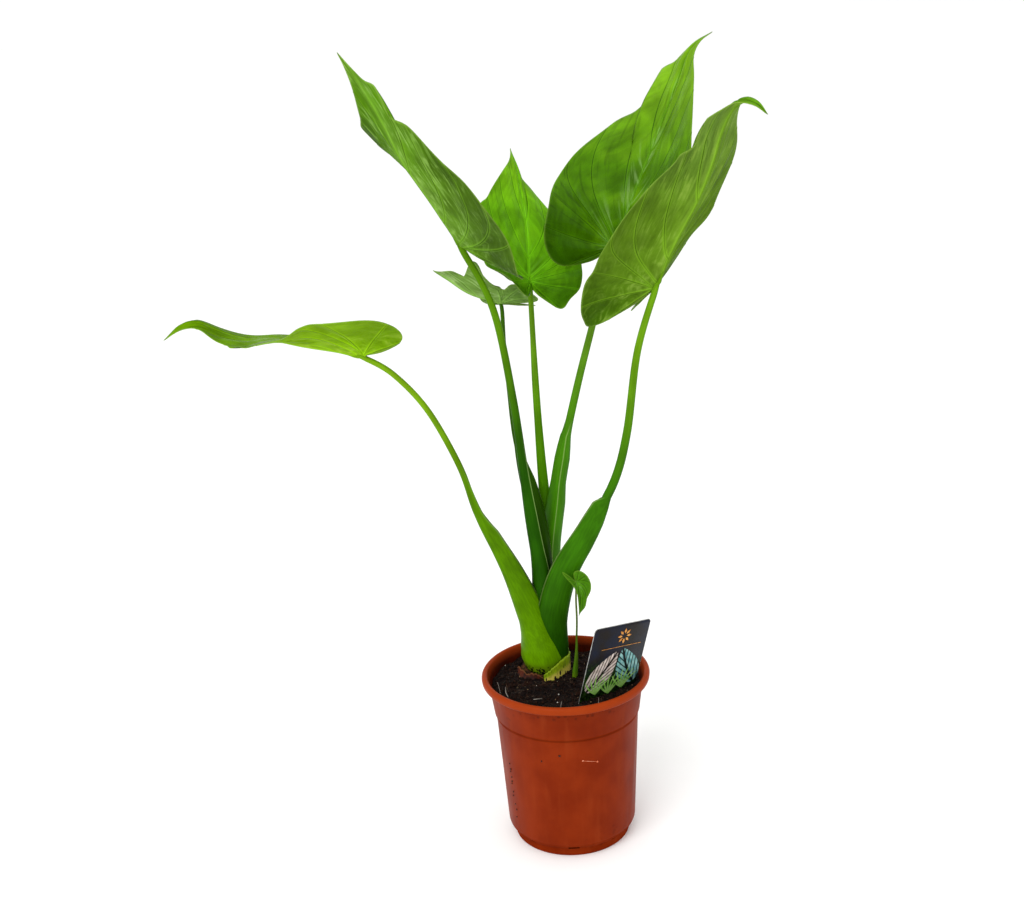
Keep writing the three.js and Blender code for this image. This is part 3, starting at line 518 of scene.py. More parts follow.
def between(values, share):
    """Straight steps between evenly spaced values, the first at 0 and the last at 1."""
    values = np.array(values, float)
    places = np.linspace(0, 1, len(values))
    if values.ndim == 1:
        return np.interp(share, places, values)
    return np.stack([np.interp(share, places, v) for v in values.T], axis=-1)


def eased(values, share):
    """The same steps with their corners eased."""
    offsets = np.linspace(-0.14, 0.14, 9)
    return sum(between(values, share + offset) for offset in offsets) / len(offsets)


def across(direction, inward):
    """The two directions across a route: to the inner side and to one edge."""
    inner = unit(inward - direction * np.sum(inward * direction, axis=-1)[..., None])
    return inner, np.cross(direction, inner)


def hump(value, middle, width):
    return np.exp(-(((value - middle) / width) ** 2))


def smooth(low, high, value):
    share = np.clip((value - low) / (high - low), 0, 1)
    return share * share * (3 - 2 * share)


def noise(x, y, seed):
    """Smooth noise from -1 to 1, with one wave or so in each unit."""
    size = 64
    table = np.random.default_rng(seed).uniform(-1, 1, (size, size))
    column, row = np.floor(x).astype(int), np.floor(y).astype(int)
    right, up = smooth(0, 1, x - column), smooth(0, 1, y - row)
    low, high = (
        part_way(table[line % size, column % size], table[line % size, (column + 1) % size], right)
        for line in (row, row + 1)
    )
    return part_way(low, high, up)


def distance_to_line(points, line):
    """The distance from each point to a chain of straight stretches, in the plane."""
    start, step = line[:-1], np.diff(line, axis=0)
    square = np.maximum(np.sum(step**2, axis=1), 1e-12)
    away = points[:, None] - start[None]
    share = np.clip(np.sum(away * step, axis=2) / square, 0, 1)
    return np.linalg.norm(away - share[..., None] * step, axis=2).min(axis=1)


# Pieces

def new_object(name, data):
    thing = bpy.data.objects.new(name, data)
    bpy.context.scene.collection.objects.link(thing)
    return thing


def new_mesh(name, points, faces):
    mesh = bpy.data.meshes.new(name)
    mesh.from_pydata((np.asarray(points) * MM).tolist(), [], faces)
    return mesh


def add_piece(name, points, faces, materials, node, marks=None, face_materials=None):
    """A smooth mesh that stands for a node. Marks are named values on its points, numbers or
    vectors, which its materials read."""
    mesh = new_mesh(name, points, faces)
    mesh.update()
    mesh.shade_smooth()
    for key, values in (marks or {}).items():
        values = np.asarray(values, np.float32)
        kind, field = ("FLOAT", "value") if values.ndim == 1 else ("FLOAT_VECTOR", "vector")
        mesh.attributes.new(key, kind, "POINT").data.foreach_set(field, values.ravel())
    for material in materials:
        mesh.materials.append(material)
    if face_materials is not None:
        mesh.polygons.foreach_set("material_index", face_materials)
    piece = new_object(name, mesh)
    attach(piece, "root")
    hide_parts(node)
    return piece


def ring_faces(rows, sides):
    """Quads between rows of closed rings."""
    faces = []
    for row in range(rows - 1):
        for side in range(sides):
            after = (side + 1) % sides
            a, b = row * sides + side, row * sides + after
            faces.append((a, b, b + sides, a + sides))
    return faces


def tube_faces(rows, sides):
    """The same with a face over each end."""
    last = (rows - 1) * sides
    ends = [tuple(range(sides))[::-1], tuple(range(last, last + sides))]
    return ring_faces(rows, sides) + ends


def bowl_faces(rows, sides):
    """The same with fans at the ends, to two centres that follow the rings' points."""
    faces = ring_faces(rows, sides)
    low, last = rows * sides, (rows - 1) * sides
    for side in range(sides):
        after = (side + 1) % sides
        faces.append((low, after, side))
        faces.append((low + 1, last + side, last + after))
    return faces


def join(bodies):
    """The points and faces of several bodies as one."""
    points, faces, total = [], [], 0
    for more, their_faces in bodies:
        points.append(more)
        faces.extend(tuple(total + v for v in face) for face in their_faces)
        total += len(more)
    return np.vstack(points), faces


def sweep(point, directions, sections):
    """The points of a tube: its sections, given to the side and inwards, set along a route."""
    inner, side = directions
    swept = point[:, None] + side[:, None] * sections[..., :1] + inner[:, None] * sections[..., 1:]
    return swept.reshape(-1, 3)


def round_sections(radius, angle):
    return np.stack([radius * np.cos(angle), radius * np.sin(angle)], axis=-1)


# Materials

class Finish:
    """A material whose colour, roughness and relief come from nodes."""

    def __init__(self, name, roughness, specular=0.5):
        self.material = bpy.data.materials.new(name)
        self.material.use_nodes = True
        self.tree = self.material.node_tree
        self.shader = self.tree.nodes["Principled BSDF"]
        self.shader.inputs["Roughness"].default_value = roughness
        self.shader.inputs["Specular IOR Level"].default_value = specular

    def node(self, kind, inputs, output, **settings):
        """An output of a new node, whose inputs are linked or set."""
        node = self.tree.nodes.new(kind)
        for key, value in settings.items():
            setattr(node, key, value)
        for key, value in inputs.items():
            self.link(value, node.inputs[key])
        return node.outputs[output]

    def link(self, value, socket):
        if isinstance(value, bpy.types.NodeSocket):
            self.tree.links.new(value, socket)
        else:
            socket.default_value = value

    def mark(self, name, output="Fac"):
        return self.node("ShaderNodeAttribute", {}, output, attribute_name=name)

    def axis(self, name, letter):
        """One of the three numbers of a vector mark."""
        return self.node("ShaderNodeSeparateXYZ", {"Vector": self.mark(name, "Vector")}, letter)

    def place(self, name=None, scale=(1, 1, 1)):
        """Where the surface is: a vector mark, or the object's own coordinates."""
        vector = self.mark(name, "Vector") if name else self.node("ShaderNodeTexCoord", {}, "Object")
        return self.node("ShaderNodeMapping", {"Vector": vector, "Scale": scale}, "Vector")

    def noise(self, place, scale, detail=3.0, roughness=0.5, distortion=0.0):
        inputs = {
            "Vector": place, "Scale": scale, "Detail": detail,
            "Roughness": roughness, "Distortion": distortion,
        }
        return self.node("ShaderNodeTexNoise", inputs, "Fac")

    def dots(self, place, scale):
        """The distance to the nearest of many random points."""
        return self.node("ShaderNodeTexVoronoi", {"Vector": place, "Scale": scale}, "Distance", feature="F1")

    def spread(self, value, low, high, new_low=0.0, new_high=1.0):
        inputs = {
            "Value": value, "From Min": low, "From Max": high,
            "To Min": new_low, "To Max": new_high,
        }
        return self.node("ShaderNodeMapRange", inputs, "Result", interpolation_type="SMOOTHSTEP")

    def math(self, operation, a, b=0.0):
        return self.node("ShaderNodeMath", {0: a, 1: b}, 0, operation=operation)

    def times(self, a, b):
        return self.math("MULTIPLY", a, b)

    def mix(self, share, first, second):
        return self.node("ShaderNodeMix", {"Factor": share, 6: first, 7: second}, 2, data_type="RGBA")

    def tones(self, share, first, second):
        """From one colour to another by a share."""
        return self.mix(share, colour(first), colour(second))

    def tint(self, base, share, code, light=1.0):
        """The base with a colour laid over it by a share."""
        return self.mix(share, base, colour(code, light))

    def light(self, base, share):
        """The same colour made lighter or darker by a share."""
        return self.node("ShaderNodeHueSaturation", {"Color": base, "Value": share}, "Color")

    def bump(self, height, distance, strength):
        inputs = {"Strength": strength, "Distance": distance * MM, "Height": height}
        return self.node("ShaderNodeBump", inputs, "Normal")

    def finish(self, base, roughness=None, normal=None):
        sockets = {"Base Color": base, "Roughness": roughness, "Normal": normal}
        for key, value in sockets.items():
            if value is not None:
                self.link(value, self.shader.inputs[key])
        return self.material


def colour(code, light=1.0):
    """A colour from its web code, for a shader, made lighter or darker."""
    values = [int(code[i:i + 2], 16) / 255 for i in (1, 3, 5)]
    linear = [v / 12.92 if v <= 0.04045 else ((v + 0.055) / 1.055) ** 2.4 for v in values]
    return [min(v * light, 1.0) for v in linear] + [1.0]


def three_tones(finish, reach, codes, stops):
    """Three colours that follow on each other along a mark."""
    base = finish.tones(finish.spread(reach, *stops[:2]), *codes[:2])
    return finish.tint(base, finish.spread(reach, *stops[2:]), codes[2])


def off_midrib(leaf):
    """Centimetres from the midrib."""
    return leaf.math("ABSOLUTE", leaf.axis("flat", "Y"))


def vein_distance(leaf):
    """Millimetres to the nearest vein, with a side vein's counted wider to the margin."""
    side = leaf.times(leaf.math("PINGPONG", leaf.axis("net", "X"), 0.5), leaf.mark("gap"))
    side = leaf.times(side, leaf.math("ADD", leaf.axis("net", "Y"), 1.0))
    return leaf.math("MINIMUM", side, leaf.times(off_midrib(leaf), 10.0))


def leaf_base(leaf, codes, outer):
    """The colour from the lobes to the tip, with painted light and shade off the midrib, and lighter or
    darker in patches.
    """
    base = three_tones(leaf, leaf.mark("reach"), codes, (-0.3, 0.12, 0.25, 0.9))
    # Painted light and shade: the faces are painted lighter or darker away from the midrib.
    base = leaf.light(base, leaf.spread(off_midrib(leaf), 1.2, 4.8, 1.0, outer))
    patches = leaf.noise(leaf.place("flat"), 0.32, detail=2.0)
    return leaf.light(base, leaf.spread(patches, 0.36, 0.66, 0.85, 1.18))


def draw_veins(leaf, codes, base, flank):
    """Veins: thin and dark, with lighter flanks, which are lightest where the veins meet."""
    vein, step = vein_distance(leaf), leaf.axis("net", "Y")
    base = leaf.tint(base, leaf.spread(vein, 1.0, 3.2, flank, 0.0), codes[1], 1.9)
    near = leaf.times(leaf.spread(vein, 0.6, 1.6, 0.5, 0.0), leaf.spread(step, 0.05, 0.45, 1.0, 0.0))
    base = leaf.tint(base, near, codes[1], 2.6)
    line = leaf.times(leaf.spread(vein, 0.35, 1.0, 0.7, 0.0), leaf.spread(step, 0.0, 0.3, 0.55, 1.0))
    return leaf.tint(base, line, codes[0], 0.35)


def leaf_surface(leaf, base, streaks, gloss, relief):
    """The uneven gloss and the fine relief of a leaf's face."""
    flat = leaf.place("flat")
    roughness = leaf.spread(leaf.noise(flat, 1.6, detail=2.0), 0.3, 0.7, *gloss)
    height = leaf.math("ADD", leaf.noise(flat, 6.0, detail=3.0), streaks)
    return leaf.finish(base, roughness, leaf.bump(height, *relief))


def upper_leaf(name, looks):
    """The glossy upper face, in soft patches of lighter and darker green and of painted highlight,
    with painted shade in fine grooves and painted highlight rays on the ridges where its veins meet."""
    leaf = Finish(name, 0.34, looks["gloss"] / 2)
    base = leaf_base(leaf, looks["upper"], looks["outer"])
    # Painted highlights: soft patches tinted lighter, as where light glances off folds.
    bright = leaf.spread(leaf.noise(leaf.place("flat"), 0.3, detail=1.0), 0.5, 0.75, 0.0, 0.35)
    base = leaf.tint(base, bright, looks["upper"][2], 1.1)
    streaks = leaf.noise(leaf.place("net", (1.2, 11.0, 1.0)), 1.0, detail=2.0, distortion=0.5)
    base = leaf.light(base, leaf.spread(streaks, 0.35, 0.7, 0.9, 1.14))
    base = draw_veins(leaf, looks["upper"], base, 0.25)
    # Painted shade in fine grooves between ridges, and painted highlight on the ridges near where the veins
    # meet.
    rays = leaf.noise(leaf.place("net", (6.0, 2.5, 1.0)), 1.0, detail=2.0, distortion=0.6)
    near = leaf.spread(leaf.axis("net", "Y"), 0.05, 0.3, 2.6 * looks["gloss"], 0.0)
    base = leaf.light(base, leaf.spread(rays, 0.32, 0.46, 0.75, 1.0))
    base = leaf.tint(base, leaf.times(leaf.spread(rays, 0.52, 0.66), near), "#98bc70")
    base = leaf.tint(base, leaf.times(leaf.mark("rim"), 0.3), "#749a28")
    return leaf_surface(leaf, base, streaks, (0.24, 0.4), (0.4, 0.6))


def under_leaf(name, looks):
    """The dull under face: paler by the midrib, with fine pale and dark streaks between the
    veins, which give way to creases over the lobes."""
    leaf = Finish(name, 0.5, 0.01)
    base = leaf_base(leaf, looks["under"], looks["outer"])
    off = off_midrib(leaf)
    base = leaf.tint(base, leaf.spread(off, 0.2, 1.2, 0.15, 0.0), looks["pale"])
    streaks = leaf.noise(leaf.place("flat", (0.28, 2.4, 1.0)), 1.0, detail=4.0, distortion=1.4)
    creases = leaf.noise(leaf.place("flat", (0.8, 1.2, 1.0)), 0.75, detail=4.0, distortion=1.8)
    streaks = leaf.mix(leaf.spread(leaf.mark("reach"), -0.15, 0.4, 0.85, 0.0), streaks, creases)
    base = leaf.light(base, leaf.spread(streaks, 0.3, 0.5, 0.78, 1.0))
    where = leaf.spread(leaf.noise(leaf.place("flat"), 0.6, detail=2.0), 0.38, 0.62, 0.3, 1.0)
    where = leaf.times(where, leaf.spread(off, 1.5, 5.5, 1.0, 0.3))
    base = leaf.tint(base, leaf.times(leaf.spread(streaks, 0.46, 0.7, 0.0, 0.75), where), looks["pale"])
    base = draw_veins(leaf, looks["under"], base, 0.35)
    base = leaf.tint(base, leaf.times(leaf.mark("rim"), 0.4), "#84a444")
    return leaf_surface(leaf, base, streaks, (0.42, 0.6), (0.55, 0.7))


def stalk_finish(name, looks):
    """A smooth waxy stalk, finely ribbed, with thin pale lines along its sheath's margins,
    and at its foot black dots on a soiled skin."""
    stalk = Finish(name, 0.42, 0.03)
    base = three_tones(stalk, stalk.mark("reach"), looks["stalk"], (0.05, 0.35, 0.5, 0.95))
    ribs = stalk.noise(stalk.place("stalk", (1.0, 0.02, 1.0)), 1.1, detail=3.0)
    base = stalk.light(base, stalk.spread(ribs, 0.35, 0.68, 0.9, 1.12))
    cloud = stalk.noise(stalk.place("stalk", (1.0, 0.4, 1.0)), 0.08, detail=1.0)
    base = stalk.light(base, stalk.spread(cloud, 0.35, 0.65, 0.88, 1.12))
    margin = stalk.spread(stalk.mark("edge"), 0.3, 1.1, 0.8, 0.0)
    base = stalk.tint(base, stalk.times(margin, stalk.mark("open")), "#7c9c50")
    soiled = stalk.times(stalk.mark("soiled"), 0.5)
    base = stalk.tint(base, soiled, "#6c7c14")
    specks = stalk.dots(stalk.place("stalk", (1.0, 0.8, 1.0)), 0.36)
    base = stalk.tint(base, stalk.math("GREATER_THAN", soiled, specks), "#101404")
    return stalk.finish(base, None, stalk.bump(ribs, 0.2, 0.4))


# Leaf stalks

def stalk_sections(sizes, rise, angle):
    """Outlines across a stalk, a row for each place along it: round, or channelled with
    raised margins. They run to its side and towards its inner, upper face."""
    width, out, inner, rise = (size[:, None] for size in (*sizes, rise))
    reach = np.where(np.sin(angle) >= 0, out + rise, inner - rise)
    return np.stack([width / 2 * np.cos(angle), rise - reach * np.sin(angle)], axis=-1)


def stalk_marks(share, distance, half_width, soiled, angle, edge, opened):
    """What a stalk's finish reads, from a row for each place along it."""
    sides = len(angle)
    rows = {"reach": share, "soiled": soiled, "open": opened}
    marks = {key: np.repeat(values, sides) for key, values in rows.items()}
    marks["edge"] = np.outer(edge, np.abs(np.sin(angle))).ravel()
    marks["stalk"] = np.stack([
        np.outer(half_width, np.cos(angle)).ravel(),
        np.repeat(distance, sides),
        np.outer(half_width, np.sin(angle)).ravel(),
    ], axis=-1)
    return marks


def stalk_sizes(stalk, share, wing, onward):
    """A stalk's width, and how far it stands out and in: a rod, with the sheath's wings."""
    sizes = []
    for base, top in zip(stalk["base"], stalk["top"]):
        rod = top * (1 + stalk["taper"] * (1 - share)) * (1 - STALK["keel_taper"] * onward)
        sizes.append(rod + (base - top * (1 + stalk["taper"])) * wing)
    return sizes


def add_stalk(name, stalk, looks, blade):
    """A stalk, which runs on under the blade's midrib for a little way."""
    rows, angle = STALK["rows"], circle(STALK["sides"])
    bare = Route(stalk["route"])
    keel = [blade.bend(np.array([along]), np.zeros(1), 1, -drop)[0][0] for along, drop in STALK["keel"]]
    route = Route((*stalk["route"][:-1], *keel))
    buried = CLUMP["foot"] - stalk["route"][0][2]
    distance = part_way(buried, route.length, np.linspace(0, 1, rows))
    share = np.minimum(distance / bare.length, 1)
    wing = np.interp(share, *zip(*stalk["wing"]))
    onward = smooth(bare.length - STALK["thinning"], route.length, distance)
    sizes = stalk_sizes(stalk, share, wing, onward)
    sections = stalk_sections(sizes, stalk["rise"] * np.minimum(wing / STALK["risen"], 1), angle)
    tuck = part_way(stalk["foot"], 1, smooth(0, STALK["foot"], share))
    left = np.minimum((route.length - distance) / STALK["end"], 1) ** 0.5
    close = left * (1 - STALK["blunt"]) + STALK["blunt"]
    point, direction = route.at(distance)
    directions = across(direction, between(stalk["inward"], share))
    points = sweep(point, directions, sections * (tuck * close)[:, None, None])
    soiled = 1 - smooth(*STALK["soiled"], point[:, 2])
    opened = np.clip(wing / STALK["open"], 0, 1)
    marks = stalk_marks(share, distance, sizes[0] / 2, soiled, angle, edge=sizes[1], opened=opened)
    add_piece(name, points, tube_faces(rows, len(angle)), [stalk_finish(name, looks)], name, marks)


# Leaf blades

class Blade:
    """A leaf blade: its flat outline and veins, and how it is bent to its pose."""

    def __init__(self, shape):
        self.shape = shape
        self.spine = Route(shape["spine"])
        self.heart = self.spine.distance_to(1)
        self.length = self.spine.length - self.heart
        self.faces = [facing(*angles) for angles in shape["face"]]
        self.outlines = [self.outline(side) for side in (0, 1)]

    def outline(self, side):
        lobe, half = self.shape["lobe"][side], self.shape["half_width"][side]
        places = [(-self.shape["notch"], 0, 0)]
        for along, over in HEART:
            places.append((along * (lobe if along < 0 else self.length), over * half, 0))
        return Route(places)

    def margin(self, side, share):
        """Where the margin is at shares of the outline, with what is torn off left out."""
        outline = self.outlines[side]
        point = outline.at(share * outline.length)[0][:, :2]
        root = self.root(point[:, 0], BLADE["tear_fan"], BLADE["tear_sweep"])
        left = np.ones(len(share))
        for half, place, depth, width in self.shape["bites"]:
            if (half > 0) == (side > 0):
                left -= depth * hump(share, place, width)
        along = root + (point[:, 0] - root) * left
        return np.stack([along, np.maximum(point[:, 1], 0) * left], axis=-1)

    def root(self, along, fan, sweep):
        """How far up the midrib the line to a place on the margin starts."""
        return self.length * (np.maximum(along / self.length - fan, 0) / (1 - fan)) ** sweep

    def lines(self, share, steps):
        """Lines from the midrib to the margin at shares of the outline, for both halves,
        as along and across for each step. They leave the midrib widely and bend to the tip."""
        margins = [self.margin(side, share) for side in (0, 1)]
        roots = sum(self.root(m[:, 0], VEIN["fan"], VEIN["sweep"]) for m in margins) / 2
        roots[-1] = margins[0][-1, 0] if share[-1] == 1 else roots[-1]
        halves = []
        for margin in margins:
            bend = 1 + (VEIN["bend"] - 1) * smooth(0, 0.5, margin[:, 0] / self.length)
            along = roots[:, None] + (margin[:, 0] - roots)[:, None] * steps
            over = margin[:, 1][:, None] * (1 - (1 - steps) ** bend[:, None])
            halves.append(np.stack([along, over], axis=-1))
        return halves

    def midrib(self, along):
        """Places on the midrib, and the directions there, up and to one edge."""
        offsets = np.linspace(-self.shape["easing"], self.shape["easing"], 9)
        nearby = (self.spine.at(self.heart + along + offset)[1] for offset in offsets)
        inner, edge = across(unit(sum(nearby)), eased(self.faces, along / self.length))
        return self.spine.at(self.heart + along)[0], inner, edge

    def wave(self, side, share):
        """How far the margin folds and ripples upwards."""
        folds = sum(
            fold * hump(share, place, BLADE["fold_width"])
            for fold, place in zip(self.shape["fold"][side], BLADE["fold_places"])
        )
        height = BLADE["ripple"] * self.shape["half_width"][side] / BLADE["broad"]
        turns = BLADE["ripples"] * share + self.shape["phase"] + (0 if side else 0.35)
        return folds + height * np.sin(2 * math.pi * turns)

    def bend(self, along, over, side, lift_by):
        """The place and the upward direction of flat points of one half."""
        half, away, share = self.shape["half_width"][side], 1 if side else -1, along / self.length
        point, inner, edge = self.midrib(along)
        lobe = smooth(0, 1, -along / self.shape["lobe"][side])
        lift = np.radians(eased(self.shape["lift"][side], share) + self.shape["lobe_lift"][side] * lobe)
        curl = np.radians(eased(self.shape["curl"][side], share)) / half
        curl = np.where(np.abs(curl) < 1e-9, 1e-9, curl)
        turn = lift + curl * over
        out = away * (np.sin(turn) - np.sin(lift)) / curl
        up = (np.cos(lift) - np.cos(turn)) / curl + (over / half) ** 2 * self.wave(side, share) + lift_by
        upper = inner * np.cos(turn)[..., None] - edge * (away * np.sin(turn))[..., None]
        return point + edge * out[..., None] + inner * up[..., None], upper


def row_shares(rows):
    """Shares of the outline for the rows, closer together near the main veins, with each
    row's place counted in veins."""
    stops = (0.0, *VEIN["ends"], 1.0)
    shares, places = [0.0], [0.0]
    for i, (start, stop) in enumerate(zip(stops, stops[1:])):
        count = max(round(rows * (stop - start)), 6)
        step = np.arange(1, count + 1) / count
        step = step - 0.1 * np.sin(2 * math.pi * step)
        shares.extend(part_way(start, stop, step))
        places.extend(i + step)
    return np.array(shares), np.array(places)


def vein_ridges(blade, flat, step, veins, scale):
    """How far side veins and the midrib stand out at flat points of one half."""
    along, over = flat.T
    width = part_way(VEIN["width"], VEIN["end_width"], step) * scale
    away = np.min([distance_to_line(flat, vein) for vein in veins], axis=0)
    side_vein = hump(away, 0, width) * (1 - 0.5 * step)
    taper = np.clip(1 - along / blade.length, 0, 1)
    width = part_way(VEIN["midrib_tip"], VEIN["midrib_width"], taper) * scale
    rib = hump(over, 0, width) * (along > -2 * scale)
    return side_vein * scale, rib * scale * taper ** 0.5, rib


def bulges(blade, side, place, step, rib, scale):
    """How far the blade rises between its veins and ruffles."""
    between_veins = (1 - np.cos(2 * math.pi * (place - np.floor(place)))) / 2
    quilt = VEIN["quilt"] * blade.shape["half_width"][side] / BLADE["broad"]
    ruffle = noise(place * 3.1, step * 6, 7 + side) * VEIN["ruffle"] * (1 - rib) * scale
    across_half = np.sin(math.pi * step)
    return quilt * between_veins * across_half ** 0.8 + ruffle * across_half


def half_sheet(blade, side, half, veins, places, steps):
    """What each point of one half carries, row by row."""
    flat = half.reshape(-1, 2)
    place, step = np.repeat(places, len(steps)), np.tile(steps, len(places))
    scale = min(blade.shape["half_width"][0] / BLADE["vein_full"], 1)
    onward = unit(np.gradient(half, axis=1) + 1e-9)
    aside = np.gradient(half, places, axis=0)
    gap = np.abs(onward[..., 0] * aside[..., 1] - onward[..., 1] * aside[..., 0]).ravel()
    *ridge, rib = vein_ridges(blade, flat, step, veins, scale)
    point, upper = blade.bend(*flat.T, side, bulges(blade, side, place, step, rib, scale))
    edge = distance_to_line(flat, half[:, -1])
    whole = np.full(len(flat), side)
    return {
        "flat": flat * (1, 1 if side else -1), "point": point, "upper": upper,
        "half": whole, "net": np.column_stack([place, step, whole * VEIN["shift"]]), "gap": gap,
        "ridge": np.column_stack(ridge), "rim": hump(edge, 0, BLADE["rim_width"]),
    }


def weld(halves):
    """One sheet of both halves, in which the points that they share on the midrib are one,
    and the number in it of each half's every point."""
    index, numbers = {}, []
    sheet = {name: [] for name in halves[0]}
    for half in halves:
        keys = [tuple(place) for place in np.round(half["flat"], 2) + 0.0]
        for k, key in enumerate(keys):
            if key not in index:
                index[key] = len(index)
                for name, values in half.items():
                    sheet[name].append(values[k])
        numbers.append(np.array([index[key] for key in keys]))
    return {name: np.array(values) for name, values in sheet.items()}, numbers


def grid_faces(grid, forward):
    """Faces over a grid of point numbers, without those that have shrunk to nothing."""
    faces = []
    corners = np.stack([grid[:-1, :-1], grid[:-1, 1:], grid[1:, 1:], grid[1:, :-1]], axis=-1)
    for ring in corners.reshape(-1, 4).tolist():
        ring = [v for k, v in enumerate(ring) if v != ring[k - 1]]
        if len(set(ring)) > 2:
            faces.append(tuple(ring if forward else ring[::-1]))
    return faces


def blade_sheet(blade, rows, columns):
    """The bent blade as one sheet of points with what they carry, and its faces."""
    shares, places = row_shares(rows)
    steps = np.linspace(0, 1, columns + 1)
    halves = blade.lines(shares, steps[None])
    veins = blade.lines(np.array(VEIN["ends"]), np.linspace(0, 1, VEIN["points"])[None])
    sheet, numbers = weld([
        half_sheet(blade, side, halves[side], veins[side], places, steps) for side in (0, 1)
    ])
    faces = []
    for side in (0, 1):
        faces.extend(grid_faces(numbers[side].reshape(len(shares), -1), forward=side))
    return sheet, faces


def open_edges(faces):
    """The edges that only one face has, in that face's direction."""
    edges = set()
    for face in faces:
        for k, vertex in enumerate(face):
            edges.add((face[k - 1], vertex))
    return [edge for edge in edges if (edge[1], edge[0]) not in edges]


def add_blade(name, blade, looks, rows=BLADE["rows"], columns=BLADE["columns"]):
    sheet, top_faces = blade_sheet(blade, rows, columns)
    count = len(sheet["point"])
    thickness = part_way(BLADE["thickness"], BLADE["rim_thickness"], sheet["rim"])
    vein, rib = sheet["ridge"].T
    groove = np.maximum(vein * VEIN["groove"], rib * VEIN["midrib_groove"])
    ridge = np.maximum(vein * VEIN["ridge"], rib * VEIN["midrib_ridge"])
    top = sheet["point"] + sheet["upper"] * (thickness / 2 - groove)[:, None]
    under = sheet["point"] - sheet["upper"] * (thickness / 2 + ridge)[:, None]
    under_faces = [tuple(v + count for v in reversed(face)) for face in top_faces]
    rim_faces = [(b, a, a + count, b + count) for a, b in open_edges(top_faces)]
    sides = [0] * len(top_faces) + [1] * len(under_faces + rim_faces)
    marks = {
        "flat": np.column_stack([sheet["flat"] / 10, sheet["half"]]),
        "net": sheet["net"], "gap": sheet["gap"], "rim": sheet["rim"],
        "reach": sheet["flat"][:, 0] / blade.length,
    }
    marks = {key: np.concatenate([values, values]) for key, values in marks.items()}
    materials = [upper_leaf(name + "_upper", looks), under_leaf(name + "_under", looks)]
    faces = top_faces + under_faces + rim_faces
    add_piece(name, np.vstack([top, under]), faces, materials, name, marks, sides)


# The pot

def rounded(profile, radius, steps=4):
    """A profile with its corners rounded by short curves."""
    profile = np.array(profile, float)
    points = [profile[0]]
    for before, corner, after in zip(profile[:-2], profile[1:-1], profile[2:]):
        back, ahead = before - corner, after - corner
        reach = min(radius, np.linalg.norm(back) / 2.2, np.linalg.norm(ahead) / 2.2)
        start = corner + unit(back) * reach
        end = corner + unit(ahead) * reach
        for t in np.linspace(0, 1, steps + 1):
            points.append((1 - t) ** 2 * start + 2 * t * (1 - t) * corner + t**2 * end)
    points.append(profile[-1])
    return np.array(points)


def pot_lining():
    """The pot's inner wall from the rim down to its floor's edge, as radius and height."""
    p, wall = POT, POT["wall"]
    return [
        (p["collar_top"] - wall, p["height"] - p["rim_height"] - 2),
        (p["collar_bottom"] - wall, p["ridge_height"]),
        (p["body_top"] - wall, p["ridge_height"] - 4),
        (p["body_bottom"] - wall, p["heel_height"] + 3),
        (p["foot_radius"] - 1, p["heel_step"] + 1),
    ]


def pot_inside(z):
    """The pot's inner radius at a height."""
    radii, levels = zip(*pot_lining()[::-1])
    return float(np.interp(z, levels, radii))


def pot_profile():
    p = POT
    pad, foot, body, rim = p["pad_radius"], p["foot_radius"], p["body_bottom"], p["rim_radius"]
    height, ridge, under_rim = p["height"], p["ridge_height"], p["height"] - p["rim_height"]
    floor = p["floor"] + p["lift"]
    outside = [
        (0, 0), (pad, 0), (pad + 2, p["lift"]), (foot - 6, p["lift"]), (foot - 4, 0), (foot, 0),
        (foot + 1, 1.2), (foot + 1, p["heel_step"]), (body - 1, p["heel_height"] - 0.8),
        (body, p["heel_height"] + 2), (p["body_top"], ridge - 2), (p["collar_bottom"], ridge),
        (p["collar_top"], under_rim), (rim - 2.2, under_rim), (rim - 0.6, under_rim + 1.6),
        (rim, height - 3.2), (rim - 1.2, height - 0.8), (rim - 3.4, height), (rim - 5.6, height - 1),
    ]
    return rounded([*outside, *pot_lining(), (foot - 1, floor), (0, floor)], p["corner"])


def pot_finish():
    """Terracotta-coloured plastic: satin, faintly mottled and streaked, with painted light on its
    rim, painted shade inside and in a line in the ridge under the collar, and specks of soil."""
    pot = Finish("pot_plastic", 0.42, 0.04)
    place, height = pot.place(), pot.axis("level", "X")
    mottle = pot.noise(place, 34.0, detail=5.0)
    base = pot.tones(pot.spread(mottle, 0.25, 0.75), "#6e1e02", "#7e2806")
    streaks = pot.noise(pot.place(None, (1.0, 1.0, 0.12)), 90.0, detail=4.0)
    base = pot.tint(base, pot.spread(streaks, 0.5, 0.75, 0.0, 0.28), "#8a3614")
    base = pot.light(base, pot.spread(streaks, 0.3, 0.46, 0.95, 1.0))
    # Painted light: the rim is tinted lighter, as where light falls on its top.
    base = pot.tint(base, pot.spread(height, 168.0, 172.0, 0.0, 0.6), "#9c3a10")
    # Painted shade inside the pot, read from the level mark's second number.
    inside = pot.times(pot.axis("level", "Y"), pot.spread(mottle, 0.3, 0.6, 0.6, 0.92))
    base = pot.tint(base, inside, "#280802")
    ridge = pot.math("ABSOLUTE", pot.math("SUBTRACT", height, POT["ridge_height"] - 0.8))
    # Painted shade: a dark line in the fold under the collar.
    base = pot.tint(base, pot.spread(ridge, 0.6, 2.0, 0.35, 0.0), "#3c1002")
    base = pot.tint(base, pot_dirt(pot, place, height), "#300c02")
    roughness = pot.spread(streaks, 0.3, 0.7, 0.34, 0.5)
    roughness = pot.math("MAXIMUM", roughness, pot.spread(ridge, 1.5, 3.5, 1.0, 0.0))
    roughness = pot.math("MAXIMUM", roughness, pot.spread(height, 14.0, 18.0, 1.0, 0.0))
    return pot.finish(base, roughness, pot.bump(pot.noise(place, 220.0, detail=3.0), 0.12, 0.5))


